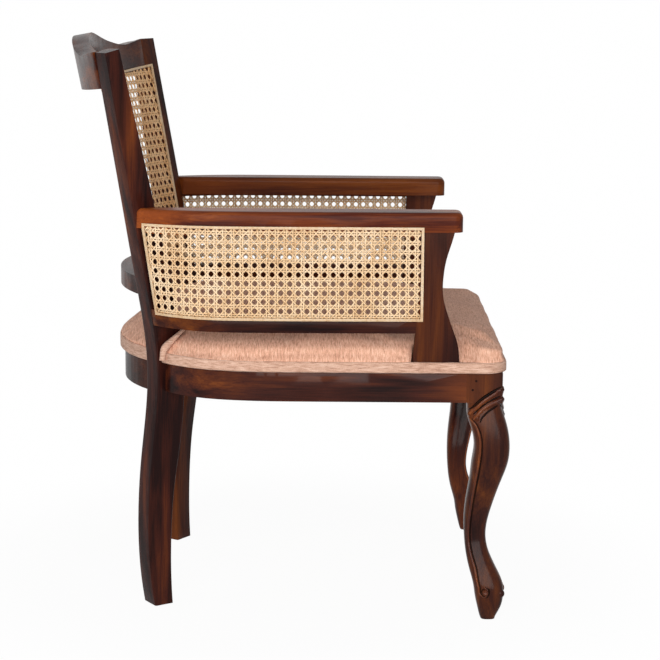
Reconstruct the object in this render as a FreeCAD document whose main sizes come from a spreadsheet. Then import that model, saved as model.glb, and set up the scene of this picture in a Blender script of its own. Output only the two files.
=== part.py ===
"""Upright cane armchair with a barrel back and cabriole front legs.

Millimetres, +Z up. The chair faces -Y and the sitter's right hand is on -X.
The origin lies on the floor, under the middle of the chair's bounding box.
Right-hand pieces are modelled, left-hand pieces are their mirror images.
"""
import FreeCAD
import Part
import Sketcher
import math
import os

from FreeCAD import Placement, Rotation, Vector

doc = FreeCAD.newDocument("planters_chair")

# Driving dimensions, in millimetres (names ending in angle are degrees)
SIZES = [
    # rear legs: planks turned in plan and leaning outwards
    ("rear_foot_x", 192.0),
    ("rear_foot_y", 178.5),
    ("rear_leg_length", 891.0),
    ("rear_leg_rake", 128.5),
    ("rear_leg_thickness", 38.0),
    ("rear_leg_turn_angle", 34.0),
    ("rear_leg_lean_angle", 2.0),
    ("rear_leg_edge_radius", 2.5),
    ("rear_leg_top_fall", 2.0),
    # front legs
    ("front_leg_x", 256.5),
    ("front_leg_y", -309.0),
    ("leg_block_width", 54.0),
    ("leg_block_depth", 56.0),
    ("carved_ridge_radius", 3.3),
    ("carved_bead_radius", 7.0),
    # seat frame
    ("seat_rail_top", 401.5),
    ("seat_rail_height", 47.0),
    ("seat_rail_thickness", 24.0),
    ("side_rail_x", 283.5),
    ("side_rail_bend_length", 199.0),
    ("front_rail_setback", 2.0),
    ("rear_rail_back_y", 272.5),
    ("rear_rail_radius", 262.0),
    ("rear_rail_height", 56.5),
    ("tenon_length", 26.0),
    ("tenon_thickness", 10.0),
    ("tenon_height", 33.0),
    ("corner_block_leg", 52.0),
    ("corner_block_height", 34.0),
    ("corner_block_drop", 5.0),
    ("glue_gap", 0.4),
    # seat board, cushion and fabric band
    ("seat_board_thickness", 10.0),
    ("seat_front_y", -336.0),
    ("seat_corner_radius", 26.0),
    ("notch_clearance", 0.8),
    ("cushion_clearance", 1.2),
    ("cushion_height", 63.2),
    ("band_thickness", 7.0),
    ("band_height", 16.0),
    ("rear_band_height", 23.0),
    ("cloth_gap", 0.3),
    # arm assemblies
    ("arm_outer_x", 283.5),
    ("arm_top", 648.0),
    ("arm_thickness", 30.0),
    ("arm_width", 55.0),
    ("arm_rear_inset", 6.0),
    ("arm_nose_y", -272.0),
    ("arm_bend_y", 75.0),
    ("arm_bulge", 4.0),
    ("arm_corner_radius", 13.0),
    ("arm_edge_radius", 8.0),
    ("support_rear_y", -202.0),
    ("support_foot_width", 74.0),
    ("support_thickness", 26.0),
    ("arm_rail_bottom", 462.5),
    ("arm_rail_height", 26.0),
    ("arm_rail_thickness", 22.0),
    # back
    ("crest_thickness", 28.0),
    ("crest_bow", 53.9),
    ("crest_bottom", 823.5),
    ("crest_height", 85.0),
    ("crest_dip", 32.0),
    ("lower_rail_bottom", 501.5),
    ("lower_rail_height", 27.5),
    ("lower_rail_thickness", 25.0),
    ("lower_rail_bow", 56.5),
    # cane
    ("cane_thickness", 1.6),
    ("cane_gap", 0.4),
    ("back_cane_gap", 0.6),
    ("back_cane_lap", 17.0),
    ("cane_lap", 13.0),
    ("cane_crest_lap", 6.8),
    ("arm_cane_bottom_lap", 3.0),
    ("arm_cane_top_lap", 4.0),
    ("arm_cane_support_lap", 6.5),
    ("arm_cane_rear_inset", 11.0),
    ("reed_width", 4.0),
    ("reed_thickness", 2.6),
    # fixings
    ("dowel_radius", 4.0),
    ("dowel_length", 36.0),
    ("arm_dowel_radius", 3.0),
    ("arm_dowel_length", 24.0),
    ("peg_radius", 1.8),
    ("peg_length", 22.0),
    ("screw_radius", 2.0),
    ("screw_head_radius", 4.0),
    ("screw_head_height", 2.5),
    ("screw_length", 44.0),
    ("overrun", 40.0),
]

sheet = doc.addObject("Spreadsheet::Sheet", "sizes")
for row, (alias, value) in enumerate(SIZES, start=1):
    sheet.set("A%d" % row, alias)
    sheet.set("B%d" % row, str(value))
    sheet.setAlias("B%d" % row, alias)
doc.recompute()

TOP_PLANE = "XY_Plane"
FRONT_PLANE = "XZ_Plane"
SIDE_PLANE = "YZ_Plane"
nodes = []


def size(name):
    """One driving dimension."""
    return float(sheet.get(name))


def angle(name):
    """One driving angle, in radians."""
    return math.radians(float(sheet.get(name)))


# Outlines
def spline(points):
    """Smooth open curve through plan or elevation points."""
    curve = Part.BSplineCurve()
    curve.interpolate([Vector(p[0], p[1], 0) for p in points])
    return curve


def line(start, end):
    """Straight edge between two points."""
    return Part.LineSegment(Vector(start[0], start[1], 0), Vector(end[0], end[1], 0))


def arc(start, middle, end):
    """Round edge through three points."""
    return Part.Arc(
        Vector(start[0], start[1], 0), Vector(middle[0], middle[1], 0), Vector(end[0], end[1], 0)
    )


def along(curve, count, begin=0.0, finish=1.0):
    """Points and left-hand normals at even steps of a curve's own parameter."""
    first, last = curve.FirstParameter, curve.LastParameter
    found = []
    for index in range(count):
        share = begin + (finish - begin) * index / (count - 1)
        value = first + (last - first) * share
        point = curve.value(value)
        run = curve.tangent(value)[0]
        found.append((point, Vector(-run.y, run.x, 0)))
    return found


def shifted(curve, distance, count=15, begin=0.0, finish=1.0):
    """The same curve moved sideways by a distance."""
    return spline([(p + n * distance) for p, n in along(curve, count, begin, finish)])


def band(curve, near, far, begin=0.0, finish=1.0):
    """Closed outline between two offsets of one curve."""
    inner = shifted(curve, near, begin=begin, finish=finish)
    outer = shifted(curve, far, begin=begin, finish=finish)
    return [inner, line(inner.EndPoint, outer.EndPoint), outer, line(outer.StartPoint, inner.StartPoint)]


# Document helpers
def sketch_on(body, role, name, outline, height=None, formula=None):
    """Sketch on one of the body's own planes, at a height above it."""
    sketch = body.newObject("Sketcher::SketchObject", name)
    plane = [f for f in body.Origin.OriginFeatures if f.Role == role][0]
    sketch.AttachmentSupport = [(plane, "")]
    sketch.MapMode = "FlatFace"
    if height is not None:
        sketch.AttachmentOffset = Placement(Vector(0, 0, height), Rotation())
    if formula is not None:
        sketch.setExpression(".AttachmentOffset.Base.z", formula)
    for edge in outline:
        sketch.addGeometry(edge, False)
    return sketch


def new_body(label):
    """Empty body with its own label."""
    body = doc.addObject("PartDesign::Body", label)
    body.Label = label
    return body


def pad_body(label, role, outline, length, height=None, formula=None, reverse=False):
    """Body with one padded outline; length and height are sheet formulas."""
    body = new_body(label)
    sketch = sketch_on(body, role, label + "_outline", outline, height, formula)
    pad = body.newObject("PartDesign::Pad", label + "_pad")
    pad.Profile = sketch
    pad.setExpression("Length", length)
    pad.Reversed = reverse
    sketch.Visibility = False
    doc.recompute()
    return body


def loft_body(label, sections, ruled=False):
    """Body lofted upwards through outlines that lie at given heights."""
    body = new_body(label)
    sketches = []
    for index, (height, outline) in enumerate(sections):
        sketches.append(sketch_on(body, TOP_PLANE, "%s_level_%d" % (label, index), outline, height))
    loft = body.newObject("PartDesign::AdditiveLoft", label + "_loft")
    loft.Profile = sketches[0]
    loft.Sections = sketches[1:]
    loft.Ruled = ruled
    doc.recompute()
    return body


def round_edges(body, choose, radius):
    """Fillet the edges of a body's tip that a test picks out."""
    tip = body.Tip
    names = []
    for index, edge in enumerate(tip.Shape.Edges, start=1):
        if choose(edge):
            names.append("Edge%d" % index)
    fillet = body.newObject("PartDesign::Fillet", body.Label + "_rounding")
    fillet.Base = (tip, names)
    fillet.setExpression("Radius", radius)
    doc.recompute()
    return fillet


def box(label, length, width, height, place):
    """Block whose three sizes are numbers or sheet formulas."""
    item = doc.addObject("Part::Box", label)
    item.Label = label
    for prop, value in (("Length", length), ("Width", width), ("Height", height)):
        if isinstance(value, str):
            item.setExpression(prop, value)
        else:
            setattr(item, prop, value)
    item.Placement = place
    return item


def rod(label, radius, length, place):
    """Round bar along its own Z; radius and length are sheet formulas."""
    item = doc.addObject("Part::Cylinder", label)
    item.Label = label
    item.setExpression("Radius", radius)
    item.setExpression("Height", length)
    item.Placement = place
    return item


def cut(label, base, tool):
    """Base with the tool taken away."""
    item = doc.addObject("Part::Cut", label)
    item.Label = label
    item.Base = base
    item.Tool = tool
    doc.recompute()
    return item


def common(label, first, second):
    """What two solids share."""
    item = doc.addObject("Part::Common", label)
    item.Label = label
    item.Base = first
    item.Tool = second
    doc.recompute()
    return item


def fuse(label, items):
    """Several solids joined into one."""
    item = doc.addObject("Part::MultiFuse", label)
    item.Label = label
    item.Shapes = items
    doc.recompute()
    return item


def group(label, items):
    """Several separate solids kept in one piece of the list."""
    item = doc.addObject("Part::Compound", label)
    item.Label = label
    item.Links = items
    doc.recompute()
    return item


def mirrored(label, source):
    """Mirror image across the chair's middle plane."""
    item = doc.addObject("Part::Mirroring", label)
    item.Label = label
    item.Source = source
    item.Base = Vector(0, 0, 0)
    item.Normal = Vector(1, 0, 0)
    doc.recompute()
    return item


def keep(item):
    """Mark an object as one finished sub-part."""
    nodes.append(item)
    return item


def pair(stem, source):
    """Keep a right-hand piece and its mirror image."""
    source.Label = stem + "_right"
    keep(source)
    keep(mirrored(stem + "_left", source))


# Rear leg geometry
# (share of the leg's length, share of its rake) along the front and back edges
LEG_FRONT_SHARES = [
    (-0.0080, 0.009), (0.1345, 0.043), (0.2240, 0.004), (0.3250, -0.089), (0.3957, -0.116),
    (0.4710, -0.088), (0.5605, 0.031), (0.6278, 0.146), (0.7265, 0.315), (0.8744, 0.579), (1.0, 0.802),
]
LEG_BACK_SHARES = [
    (-0.0080, 0.255), (0.0785, 0.346), (0.1682, 0.370), (0.2690, 0.335), (0.3587, 0.272),
    (0.4148, 0.255), (0.4820, 0.286), (0.5605, 0.381), (0.6390, 0.494), (0.7265, 0.615), (0.8744, 0.821),
    (0.9934, 0.990),
]


def leg_curve(shares):
    """Edge of the rear leg's side outline."""
    rake, length = size("rear_leg_rake"), size("rear_leg_length")
    return spline([(across * rake, up * length) for up, across in shares])


leg_front = leg_curve(LEG_FRONT_SHARES)
leg_back = leg_curve(LEG_BACK_SHARES)
turn = angle("rear_leg_turn_angle")
lean = angle("rear_leg_lean_angle")
radial = Vector(-math.sin(turn), math.cos(turn), 0)
sideways = Vector(-math.cos(turn), -math.sin(turn), 0)
foot = Vector(-size("rear_foot_x"), size("rear_foot_y"), 0)
leg_rotation = Rotation(Vector(0, 0, 1), 90 + math.degrees(turn)) * Rotation(Vector(1, 0, 0), -math.degrees(lean))
leg_place = Placement(foot, leg_rotation)


def offset_at(curve, height):
    """How far back a leg edge lies at a height along the leg, carried on straight past its top."""
    low, high = curve.FirstParameter, curve.LastParameter
    if height > curve.EndPoint.y:
        run = curve.tangent(high)[0]
        return curve.EndPoint.x + (height - curve.EndPoint.y) * run.x / run.y
    for _ in range(60):
        middle = (low + high) / 2
        if curve.value(middle).y < height:
            low = middle
        else:
            high = middle
    return curve.value(low).x


def leg_point(height, curve, depth):
    """Point on the right rear leg at a true height and a depth in from its outer face."""
    rise = (height - depth * math.sin(lean)) / math.cos(lean)
    back = offset_at(curve, rise)
    flat = radial * back + sideways * (rise * math.sin(lean) - depth * math.cos(lean))
    return Vector(foot.x + flat.x, foot.y + flat.y, 0)


def leg_block(label, first, last, near, far, low, high):
    """Block in the leg's own directions: back, outwards and up."""
    place = leg_place * Placement(Vector(first, near, low), Rotation())
    return box(label, last - first, far - near, high - low, place)


def post_outer_cutter(label):
    """Everything on the inner side of the right leg's outer face."""
    over = size("overrun")
    length = size("rear_leg_length")
    return leg_block(label, -length, length, -length, 0, -over, length + over)


def post_inner_cutter(label):
    """Everything on the outer side of the right leg's inner face."""
    over = size("overrun")
    length = size("rear_leg_length")
    return leg_block(label, -length, length, -size("rear_leg_thickness"), length, -over, length + over)


outer_cutter = post_outer_cutter("post_outer_side")
inner_cutter = post_inner_cutter("post_inner_side")
inner_cutter_left = mirrored("post_inner_side_left", inner_cutter)
both_inner_cutters = group("post_inner_sides", [inner_cutter, inner_cutter_left])


def leg_top_cutter(label):
    """Everything above the right leg's top, which is sawn square to its slope and falls inwards."""
    front, back = leg_front.EndPoint, leg_back.EndPoint
    start = Vector(front.x, 0, front.y)
    across = Vector(back.x - front.x, 0, back.y - front.y)
    outward = Vector(0, size("rear_leg_thickness"), size("rear_leg_top_fall"))
    reach = size("rear_leg_length") / 4
    place = leg_place * Placement(start, Rotation(across, outward, across.cross(outward), "XYZ"))
    return box(label, reach * 2, reach * 2, reach, place * Placement(Vector(-reach, -reach, 0), Rotation()))


def make_rear_leg():
    """Curved plank, rounded along its edges and cut level at the floor."""
    outline = [
        leg_front,
        line(leg_front.EndPoint, leg_back.EndPoint),
        leg_back,
        line(leg_back.StartPoint, leg_front.StartPoint),
    ]
    plank = pad_body("rear_leg_plank", FRONT_PLANE, outline, "sizes.rear_leg_thickness")
    if plank.Shape.BoundBox.YMax > size("rear_leg_thickness") / 2:
        plank.Tip.Reversed = True
        doc.recompute()
    length = size("rear_leg_length")
    round_edges(plank, lambda e: e.Length > length / 2, "sizes.rear_leg_edge_radius")
    plank.Placement = leg_place
    over = size("overrun")
    reach = size("rear_foot_x") * 2
    floor = box("floor_right", reach * 2, reach * 2, over, Placement(Vector(-reach * 2, 0, -over), Rotation()))
    return cut("rear_leg_shape", cut("rear_leg_standing", plank, floor), leg_top_cutter("rear_leg_above"))


# Seat frame
# (share of the bend's length, share of its inset) of a side rail's outer face
SIDE_BEND_SHARES = [(0.0, 0.0), (0.226, 0.019), (0.427, 0.089), (0.628, 0.230), (0.829, 0.533), (1.0, 1.0)]
# where the side rail's outer face meets the rear leg, as a share of that leg's face from front to back
SIDE_RAIL_MEETS_SHARE = 0.72


# (share of the run before a bend, share of its swell reached there)
BULGE_SHARES = [(0.25, 0.40), (0.50, 0.75)]


def meeting_point(height, share):
    """Point across the right leg's outer face at a height."""
    front = leg_point(height, leg_front, 0)
    back = leg_point(height, leg_back, 0)
    return front + (back - front) * share


def bent_curve(start_x, front_y, bend_y, target, shares, tail, bulge=0.0):
    """Run to a bend that may swell outwards, the bend itself, and a short tail past its target."""
    widest = start_x + bulge
    points = [(-start_x, front_y)]
    for run_share, bulge_share in BULGE_SHARES:
        points.append((-start_x - bulge * bulge_share, front_y + (bend_y - front_y) * run_share))
    for along_share, inset_share in shares:
        points.append((
            -widest + (widest + target.x) * inset_share,
            bend_y + (target.y - bend_y) * along_share,
        ))
    curve = spline(points)
    if tail:
        run = curve.tangent(curve.LastParameter)[0]
        end = curve.EndPoint
        points.append((end.x + run.x * tail, end.y + run.y * tail))
        curve = spline(points)
    return curve


def side_rail_curve(tail):
    """Outer face of the right side rail, front to back."""
    block_back = size("front_leg_y") + size("leg_block_depth") / 2
    target = meeting_point(size("seat_rail_top") - size("seat_rail_height") / 2, SIDE_RAIL_MEETS_SHARE)
    bend_y = target.y - size("side_rail_bend_length")
    return bent_curve(size("side_rail_x"), block_back, bend_y, target, SIDE_BEND_SHARES, tail)


def rail_tenon(label, place, width_axis):
    """Rectangular tongue that enters the front leg's block."""
    length, thick, tall = size("tenon_length"), size("tenon_thickness"), size("tenon_height")
    if width_axis == "x":
        return box(label, length, thick, tall, place)
    return box(label, thick, length, tall, place)


def side_tenon():
    """Tongue at the front end of the right side rail."""
    block_back = size("front_leg_y") + size("leg_block_depth") / 2
    middle_x = -size("side_rail_x") + size("seat_rail_thickness") / 2
    base = Vector(
        middle_x - size("tenon_thickness") / 2,
        block_back - size("tenon_length"),
        size("seat_rail_top") - size("seat_rail_height") / 2 - size("tenon_height") / 2,
    )
    return rail_tenon("side_rail_tongue", Placement(base, Rotation()), "y")


def front_tenon():
    """Tongue at the right end of the front rail."""
    block_inner = -size("front_leg_x") + size("leg_block_width") / 2
    base = Vector(
        block_inner - size("tenon_length") / 2,
        front_rail_y() - size("tenon_thickness") / 2,
        size("seat_rail_top") - size("seat_rail_height") / 2 - size("tenon_height") / 2,
    )
    item = rail_tenon("front_rail_tongue", Placement(base, Rotation()), "x")
    item.setExpression("Length", "sizes.tenon_length / 2")
    return item


def front_rail_y():
    """Middle of the front rail's thickness."""
    face = size("front_leg_y") - size("leg_block_depth") / 2 + size("front_rail_setback")
    return face + size("seat_rail_thickness") / 2


def make_side_rail(tongue, dowels):
    """Bowed rail from the front leg to the rear leg's outer face."""
    curve = side_rail_curve(size("overrun") / 2)
    rail = pad_body(
        "side_rail_bow", TOP_PLANE, band(curve, 0, -size("seat_rail_thickness")), "sizes.seat_rail_height",
        height=size("seat_rail_top") - size("seat_rail_height"),
        formula="sizes.seat_rail_top - sizes.seat_rail_height",
    )
    trimmed = cut("side_rail_trimmed", rail, outer_cutter)
    joined = fuse("side_rail_joined", [trimmed, tongue])
    return cut("side_rail_shape", joined, dowels)


def make_front_rail(tongue, tongue_left):
    """Straight rail between the front legs."""
    inner = size("front_leg_x") - size("leg_block_width") / 2
    half = size("seat_rail_thickness") / 2
    middle = front_rail_y()
    outline = [
        line((-inner, middle - half), (inner, middle - half)),
        line((inner, middle - half), (inner, middle + half)),
        line((inner, middle + half), (-inner, middle + half)),
        line((-inner, middle + half), (-inner, middle - half)),
    ]
    rail = pad_body(
        "front_rail_bar", TOP_PLANE, outline, "sizes.seat_rail_height",
        height=size("seat_rail_top") - size("seat_rail_height"),
        formula="sizes.seat_rail_top - sizes.seat_rail_height",
    )
    joined = fuse("front_rail", [rail, tongue, tongue_left])
    return joined


def bow(radius, rear_y, sweep_angle):
    """Round edge about a centre on the middle plane; its rearmost point lies at rear_y."""
    side, fall = radius * math.sin(sweep_angle), radius * (1 - math.cos(sweep_angle))
    return arc((-side, rear_y - fall), (0, rear_y), (side, rear_y - fall))


def between(outer, inner):
    """Closed outline between two bows."""
    return [outer, line(outer.EndPoint, inner.EndPoint), inner, line(inner.StartPoint, outer.StartPoint)]


def round_band(radius, outer_y, thickness, sweep_angle):
    """Bowed band of even thickness; the outer face reaches outer_y."""
    return between(
        bow(radius, outer_y, sweep_angle), bow(radius - thickness, outer_y - thickness, sweep_angle)
    )


REAR_SWEEP = math.radians(62)


def make_rear_rail(dowels):
    """Bowed rail between the rear legs' inner faces."""
    outline = round_band(
        size("rear_rail_radius"), size("rear_rail_back_y"), size("seat_rail_thickness"), REAR_SWEEP
    )
    rail = pad_body(
        "rear_rail_bow", TOP_PLANE, outline, "sizes.rear_rail_height",
        height=size("seat_rail_top") - size("rear_rail_height"),
        formula="sizes.seat_rail_top - sizes.rear_rail_height",
    )
    trimmed = cut("rear_rail_trimmed", rail, both_inner_cutters)
    return cut("rear_rail", trimmed, dowels)


def make_corner_blocks(screws):
    """Three-cornered blocks in the two front corners under the seat board."""
    inner_x = size("side_rail_x") - size("seat_rail_thickness") - size("glue_gap")
    block_back = size("front_leg_y") + size("leg_block_depth") / 2
    leg = size("corner_block_leg")
    outline = [
        line((-inner_x, block_back), (-inner_x + leg, block_back)),
        line((-inner_x + leg, block_back), (-inner_x, block_back + leg)),
        line((-inner_x, block_back + leg), (-inner_x, block_back)),
    ]
    block = pad_body(
        "corner_block", TOP_PLANE, outline, "sizes.corner_block_height",
        height=size("seat_rail_top") - size("corner_block_drop") - size("corner_block_height"),
        formula="sizes.seat_rail_top - sizes.corner_block_drop - sizes.corner_block_height",
    )
    return cut("corner_block_shape", block, screws)


# Front leg
# (height share of the rail's underside, back share, width share, half depth share, half width share)
# of a leg block's depth and width, measured from the block's middle; positive back is towards the rear
LEG_LEVEL_SHARES = [
    (0.000, -0.262, 0.055, 0.200, 0.200),
    (0.020, -0.262, 0.050, 0.245, 0.245),
    (0.062, -0.290, 0.045, 0.340, 0.340),
    (0.110, -0.285, 0.050, 0.400, 0.395),
    (0.150, -0.265, 0.075, 0.418, 0.410),
    (0.215, -0.130, 0.180, 0.392, 0.385),
    (0.290, 0.040, 0.320, 0.330, 0.330),
    (0.365, 0.120, 0.410, 0.303, 0.305),
    (0.440, 0.112, 0.390, 0.330, 0.330),
    (0.515, 0.050, 0.280, 0.375, 0.370),
    (0.590, -0.040, 0.130, 0.412, 0.405),
    (0.660, -0.135, 0.000, 0.455, 0.445),
    (0.730, -0.215, -0.100, 0.500, 0.490),
    (0.805, -0.258, -0.130, 0.492, 0.490),
    (0.880, -0.180, -0.080, 0.508, 0.500),
    (0.945, -0.060, -0.020, 0.505, 0.500),
    (1.000, 0.000, 0.000, 0.500, 0.500),
]
ROUND_SECTION_SHARE = 0.62
KNEE_SECTION_SHARE = 0.80
# (share of the block from its middle towards the chair's middle, share of the leg's height) of the carving
UPPER_RIDGE_SHARES = [(-0.5, 0.942), (-0.143, 0.917), (0.125, 0.889), (0.286, 0.862), (0.393, 0.837)]
LOWER_RIDGE_SHARES = [(-0.5, 0.903), (-0.143, 0.879), (0.107, 0.852), (0.179, 0.822)]
ANKLE_BEAD_SHARES = (-0.17, 0.108)
# how deep the carving's round bars and beads sit in the wood, and how far a bar starts past the leg's
# corner, as shares of their radii
RIDGE_INSET_SHARE = 0.4
OUTER_REACH_SHARE = 0.55
FRONT_REACH_SHARE = 0.20
BEAD_INSET_SHARE = 0.58


def leg_section(middle_x, middle_y, half_x, half_y, corner_share):
    """Rounded square outline through eight points, as one closed curve."""
    points = []
    steps = 16
    power = 2.0 + 6.0 * max(0.0, corner_share - 0.5)
    for index in range(steps):
        direction = 2 * math.pi * index / steps
        side, up = math.cos(direction), math.sin(direction)
        reach = (abs(side) ** power + abs(up) ** power) ** (-1.0 / power)
        points.append(Vector(middle_x + half_x * side * reach, middle_y + half_y * up * reach, 0))
    curve = Part.BSplineCurve()
    curve.interpolate(points, PeriodicFlag=True)
    return [curve]


def surface_point(shape, face, across, up, inset):
    """Point a little inside a leg's outer or front face; shares of the block and of the leg's height."""
    middle = Vector(-size("front_leg_x"), size("front_leg_y"), up * size("seat_rail_top"))
    width, depth = size("leg_block_width"), size("leg_block_depth")
    if face == "outer":
        aim, inward = middle + Vector(0, across * depth, 0), Vector(1, 0, 0)
    else:
        aim, inward = middle + Vector(across * width, 0, 0), Vector(0, 1, 0)
    start = aim - inward * width
    probe = shape.common(Part.makeLine(start, aim + inward * width))
    return start + inward * (min((vertex.Point - start).Length for vertex in probe.Vertexes) + inset)


def ball(label, radius, centre):
    """Sphere whose radius is a sheet formula."""
    item = doc.addObject("Part::Sphere", label)
    item.setExpression("Radius", radius)
    item.Placement = Placement(centre, Rotation())
    return item


def carved_line(label, points, radius):
    """Round bar along a smooth line."""
    curve = Part.BSplineCurve()
    curve.interpolate(points)
    path = doc.addObject("Part::Feature", label + "_path")
    path.Shape = curve.toShape()
    ring = doc.addObject("Part::Circle", label + "_ring")
    ring.setExpression("Radius", radius)
    ring.Placement = Placement(points[0], Rotation(Vector(0, 0, 1), curve.tangent(curve.FirstParameter)[0]))
    bar = doc.addObject("Part::Sweep", label + "_bar")
    bar.Sections = [ring]
    bar.Spine = (path, ["Edge1"])
    bar.Solid = True
    return bar


def make_carving(plain):
    """Ridges across the knee and a bead at the ankle, on the outer and the front face."""
    inset = size("carved_ridge_radius") * RIDGE_INSET_SHARE
    corner_x = -size("front_leg_x") - size("leg_block_width") / 2 + inset
    corner_y = size("front_leg_y") - size("leg_block_depth") / 2 + inset
    starts = {
        "outer": Vector(corner_x, corner_y - OUTER_REACH_SHARE * size("carved_ridge_radius"), 0),
        "front": Vector(corner_x - FRONT_REACH_SHARE * size("carved_ridge_radius"), corner_y, 0),
    }
    ridges, ends, beads = [], [], []
    for name, shares in (("upper", UPPER_RIDGE_SHARES), ("lower", LOWER_RIDGE_SHARES)):
        for face in ("outer", "front"):
            points = [starts[face] + Vector(0, 0, shares[0][1] * size("seat_rail_top"))]
            points += [surface_point(plain.Shape, face, across, up, inset) for across, up in shares[1:]]
            label = "%s_%s_ridge" % (face, name)
            ridges.append(carved_line(label, points, "sizes.carved_ridge_radius"))
            ends.append(ball(label + "_end", "sizes.carved_ridge_radius", points[-1]))
    for face in ("outer", "front"):
        across, up = ANKLE_BEAD_SHARES
        centre = surface_point(plain.Shape, face, across, up, size("carved_bead_radius") * BEAD_INSET_SHARE)
        beads.append(ball(face + "_ankle_bead", "sizes.carved_bead_radius", centre))
    return ridges + beads + ends


def make_front_leg(tools):
    """Cabriole leg with a square block at its head and a carved knee."""
    underside = size("seat_rail_top") - size("seat_rail_height")
    width, depth = size("leg_block_width"), size("leg_block_depth")
    sections = []
    for up, back, across, half_depth, half_width in LEG_LEVEL_SHARES:
        squareness = ROUND_SECTION_SHARE + (KNEE_SECTION_SHARE - ROUND_SECTION_SHARE) * up
        sections.append((
            up * underside,
            leg_section(
                -size("front_leg_x") + across * width, size("front_leg_y") + back * depth,
                half_width * width, half_depth * depth, squareness,
            ),
        ))
    shaft = loft_body("front_leg_shaft", sections)
    block = box("front_leg_block", "sizes.leg_block_width", "sizes.leg_block_depth", "sizes.seat_rail_height",
                Placement(Vector(-size("front_leg_x") - width / 2, size("front_leg_y") - depth / 2, underside),
                          Rotation()))
    plain = fuse("front_leg_plain", [shaft, block])
    carved = plain
    for index, item in enumerate(make_carving(plain)):
        carved = fuse("front_leg_carved_%d" % index, [carved, item])
    return cut("front_leg_shape", carved, tools)


# Arm assemblies
# (share of the bend's length, share of its inset) of an arm's outer face
ARM_BEND_SHARES = [
    (0.0, 0.0), (0.200, 0.035), (0.400, 0.140), (0.600, 0.320), (0.800, 0.610), (1.0, 1.0),
]
# (height share of the support, reach share of its foot) down the support's curved front edge
SUPPORT_FRONT_SHARES = [
    (1.000, 0.770), (0.930, 0.715), (0.810, 0.610), (0.690, 0.555), (0.590, 0.545), (0.510, 0.575),
    (0.440, 0.635), (0.320, 0.755), (0.200, 0.875), (0.100, 0.905), (0.000, 0.910),
]
SUPPORT_HEEL_SHARE = 0.09
SUPPORT_HEAD_SHARE = 0.05


def arm_curve(height, tail):
    """Outer face of the right arm assembly in plan at a height; upright beside the armrest."""
    target = leg_point(min(height, size("arm_top") - size("arm_thickness")), leg_back, 0)
    front = size("arm_nose_y") + size("arm_corner_radius")
    return bent_curve(
        size("arm_outer_x"), front, size("arm_bend_y"), target, ARM_BEND_SHARES, tail, size("arm_bulge")
    )


def arm_outline(height):
    """Plan of the armrest: rounded nose, straight inner edge, bowed outer edge."""
    outer_x, nose = size("arm_outer_x"), size("arm_nose_y")
    inner_x = outer_x - size("arm_width")
    radius = size("arm_corner_radius")
    tail = size("overrun") / 2
    outer = arm_curve(height, tail)
    corner = leg_point(height, leg_front, 0) - radial * size("arm_rear_inset")
    run = Vector(corner.x + inner_x, corner.y - (nose + radius), 0).normalize()
    inner_end = corner + run * tail
    bite = radius * (1 - math.sqrt(0.5))
    return [
        outer,
        line(outer.EndPoint, inner_end),
        line(inner_end, (-inner_x, nose + radius)),
        arc((-inner_x, nose + radius), (-inner_x - bite, nose + bite), (-inner_x - radius, nose)),
        line((-inner_x - radius, nose), (-outer_x + radius, nose)),
        arc((-outer_x + radius, nose), (-outer_x + bite, nose + bite), (-outer_x, nose + radius)),
    ]


def make_armrest(dowels):
    """Flat armrest, rounded along its top, butted on the rear leg's outer face."""
    top, bottom = size("arm_top"), size("arm_top") - size("arm_thickness")
    rest = pad_body(
        "armrest_board", TOP_PLANE, arm_outline((top + bottom) / 2), "sizes.arm_thickness",
        height=bottom, formula="sizes.arm_top - sizes.arm_thickness",
    )
    rear = size("rear_foot_y")

    def on_top(edge):
        box_of = edge.BoundBox
        level = abs(box_of.ZMin - top) < size("cloth_gap") and abs(box_of.ZMax - top) < size("cloth_gap")
        return level and box_of.YMin < rear

    round_edges(rest, on_top, "sizes.arm_edge_radius")
    trimmed = cut("armrest_trimmed", rest, outer_cutter)
    return cut("armrest_shape", trimmed, dowels)


def make_support(dowels):
    """Upright under the front of the armrest with a hollowed front edge."""
    top, bottom = size("arm_top") - size("arm_thickness"), size("seat_rail_top")
    tall, rear, foot_width = top - bottom, size("support_rear_y"), size("support_foot_width")
    front = spline([(rear - reach * foot_width, bottom + up * tall) for up, reach in SUPPORT_FRONT_SHARES])
    heel = (rear + SUPPORT_HEEL_SHARE * foot_width, bottom)
    low = (rear, size("arm_rail_bottom"))
    high = (rear, size("arm_rail_bottom") + size("arm_rail_height"))
    head = (rear - SUPPORT_HEAD_SHARE * foot_width, top)
    outline = [
        front, line(front.EndPoint, heel), line(heel, low), line(low, high), line(high, head),
        line(head, front.StartPoint),
    ]
    upright = pad_body(
        "support_plank", SIDE_PLANE, outline, "sizes.support_thickness",
        height=-size("arm_outer_x"), formula="-sizes.arm_outer_x",
    )
    return cut("support_shape", upright, dowels)


def make_arm_rail(dowels):
    """Lower rail of the arm panel, from the support to the rear leg's outer face."""
    low = size("arm_rail_bottom")
    sections = []
    for height in (low, low + size("arm_rail_height")):
        curve = arm_curve(height, size("overrun") / 2)
        begin = share_at(curve, size("support_rear_y"))
        sections.append((height, band(curve, 0, -size("arm_rail_thickness"), begin)))
    rail = loft_body("arm_rail_loft", sections, ruled=True)
    trimmed = cut("arm_rail_trimmed", rail, outer_cutter)
    return cut("arm_rail_shape", trimmed, dowels)


def share_at(curve, depth):
    """Share of a curve's parameter at which it passes a depth."""
    crossing = curve.intersect(Part.Line(Vector(0, depth, 0), Vector(1, depth, 0)))[0]
    value = curve.parameter(Vector(crossing.X, crossing.Y, 0))
    return (value - curve.FirstParameter) / (curve.LastParameter - curve.FirstParameter)


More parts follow.
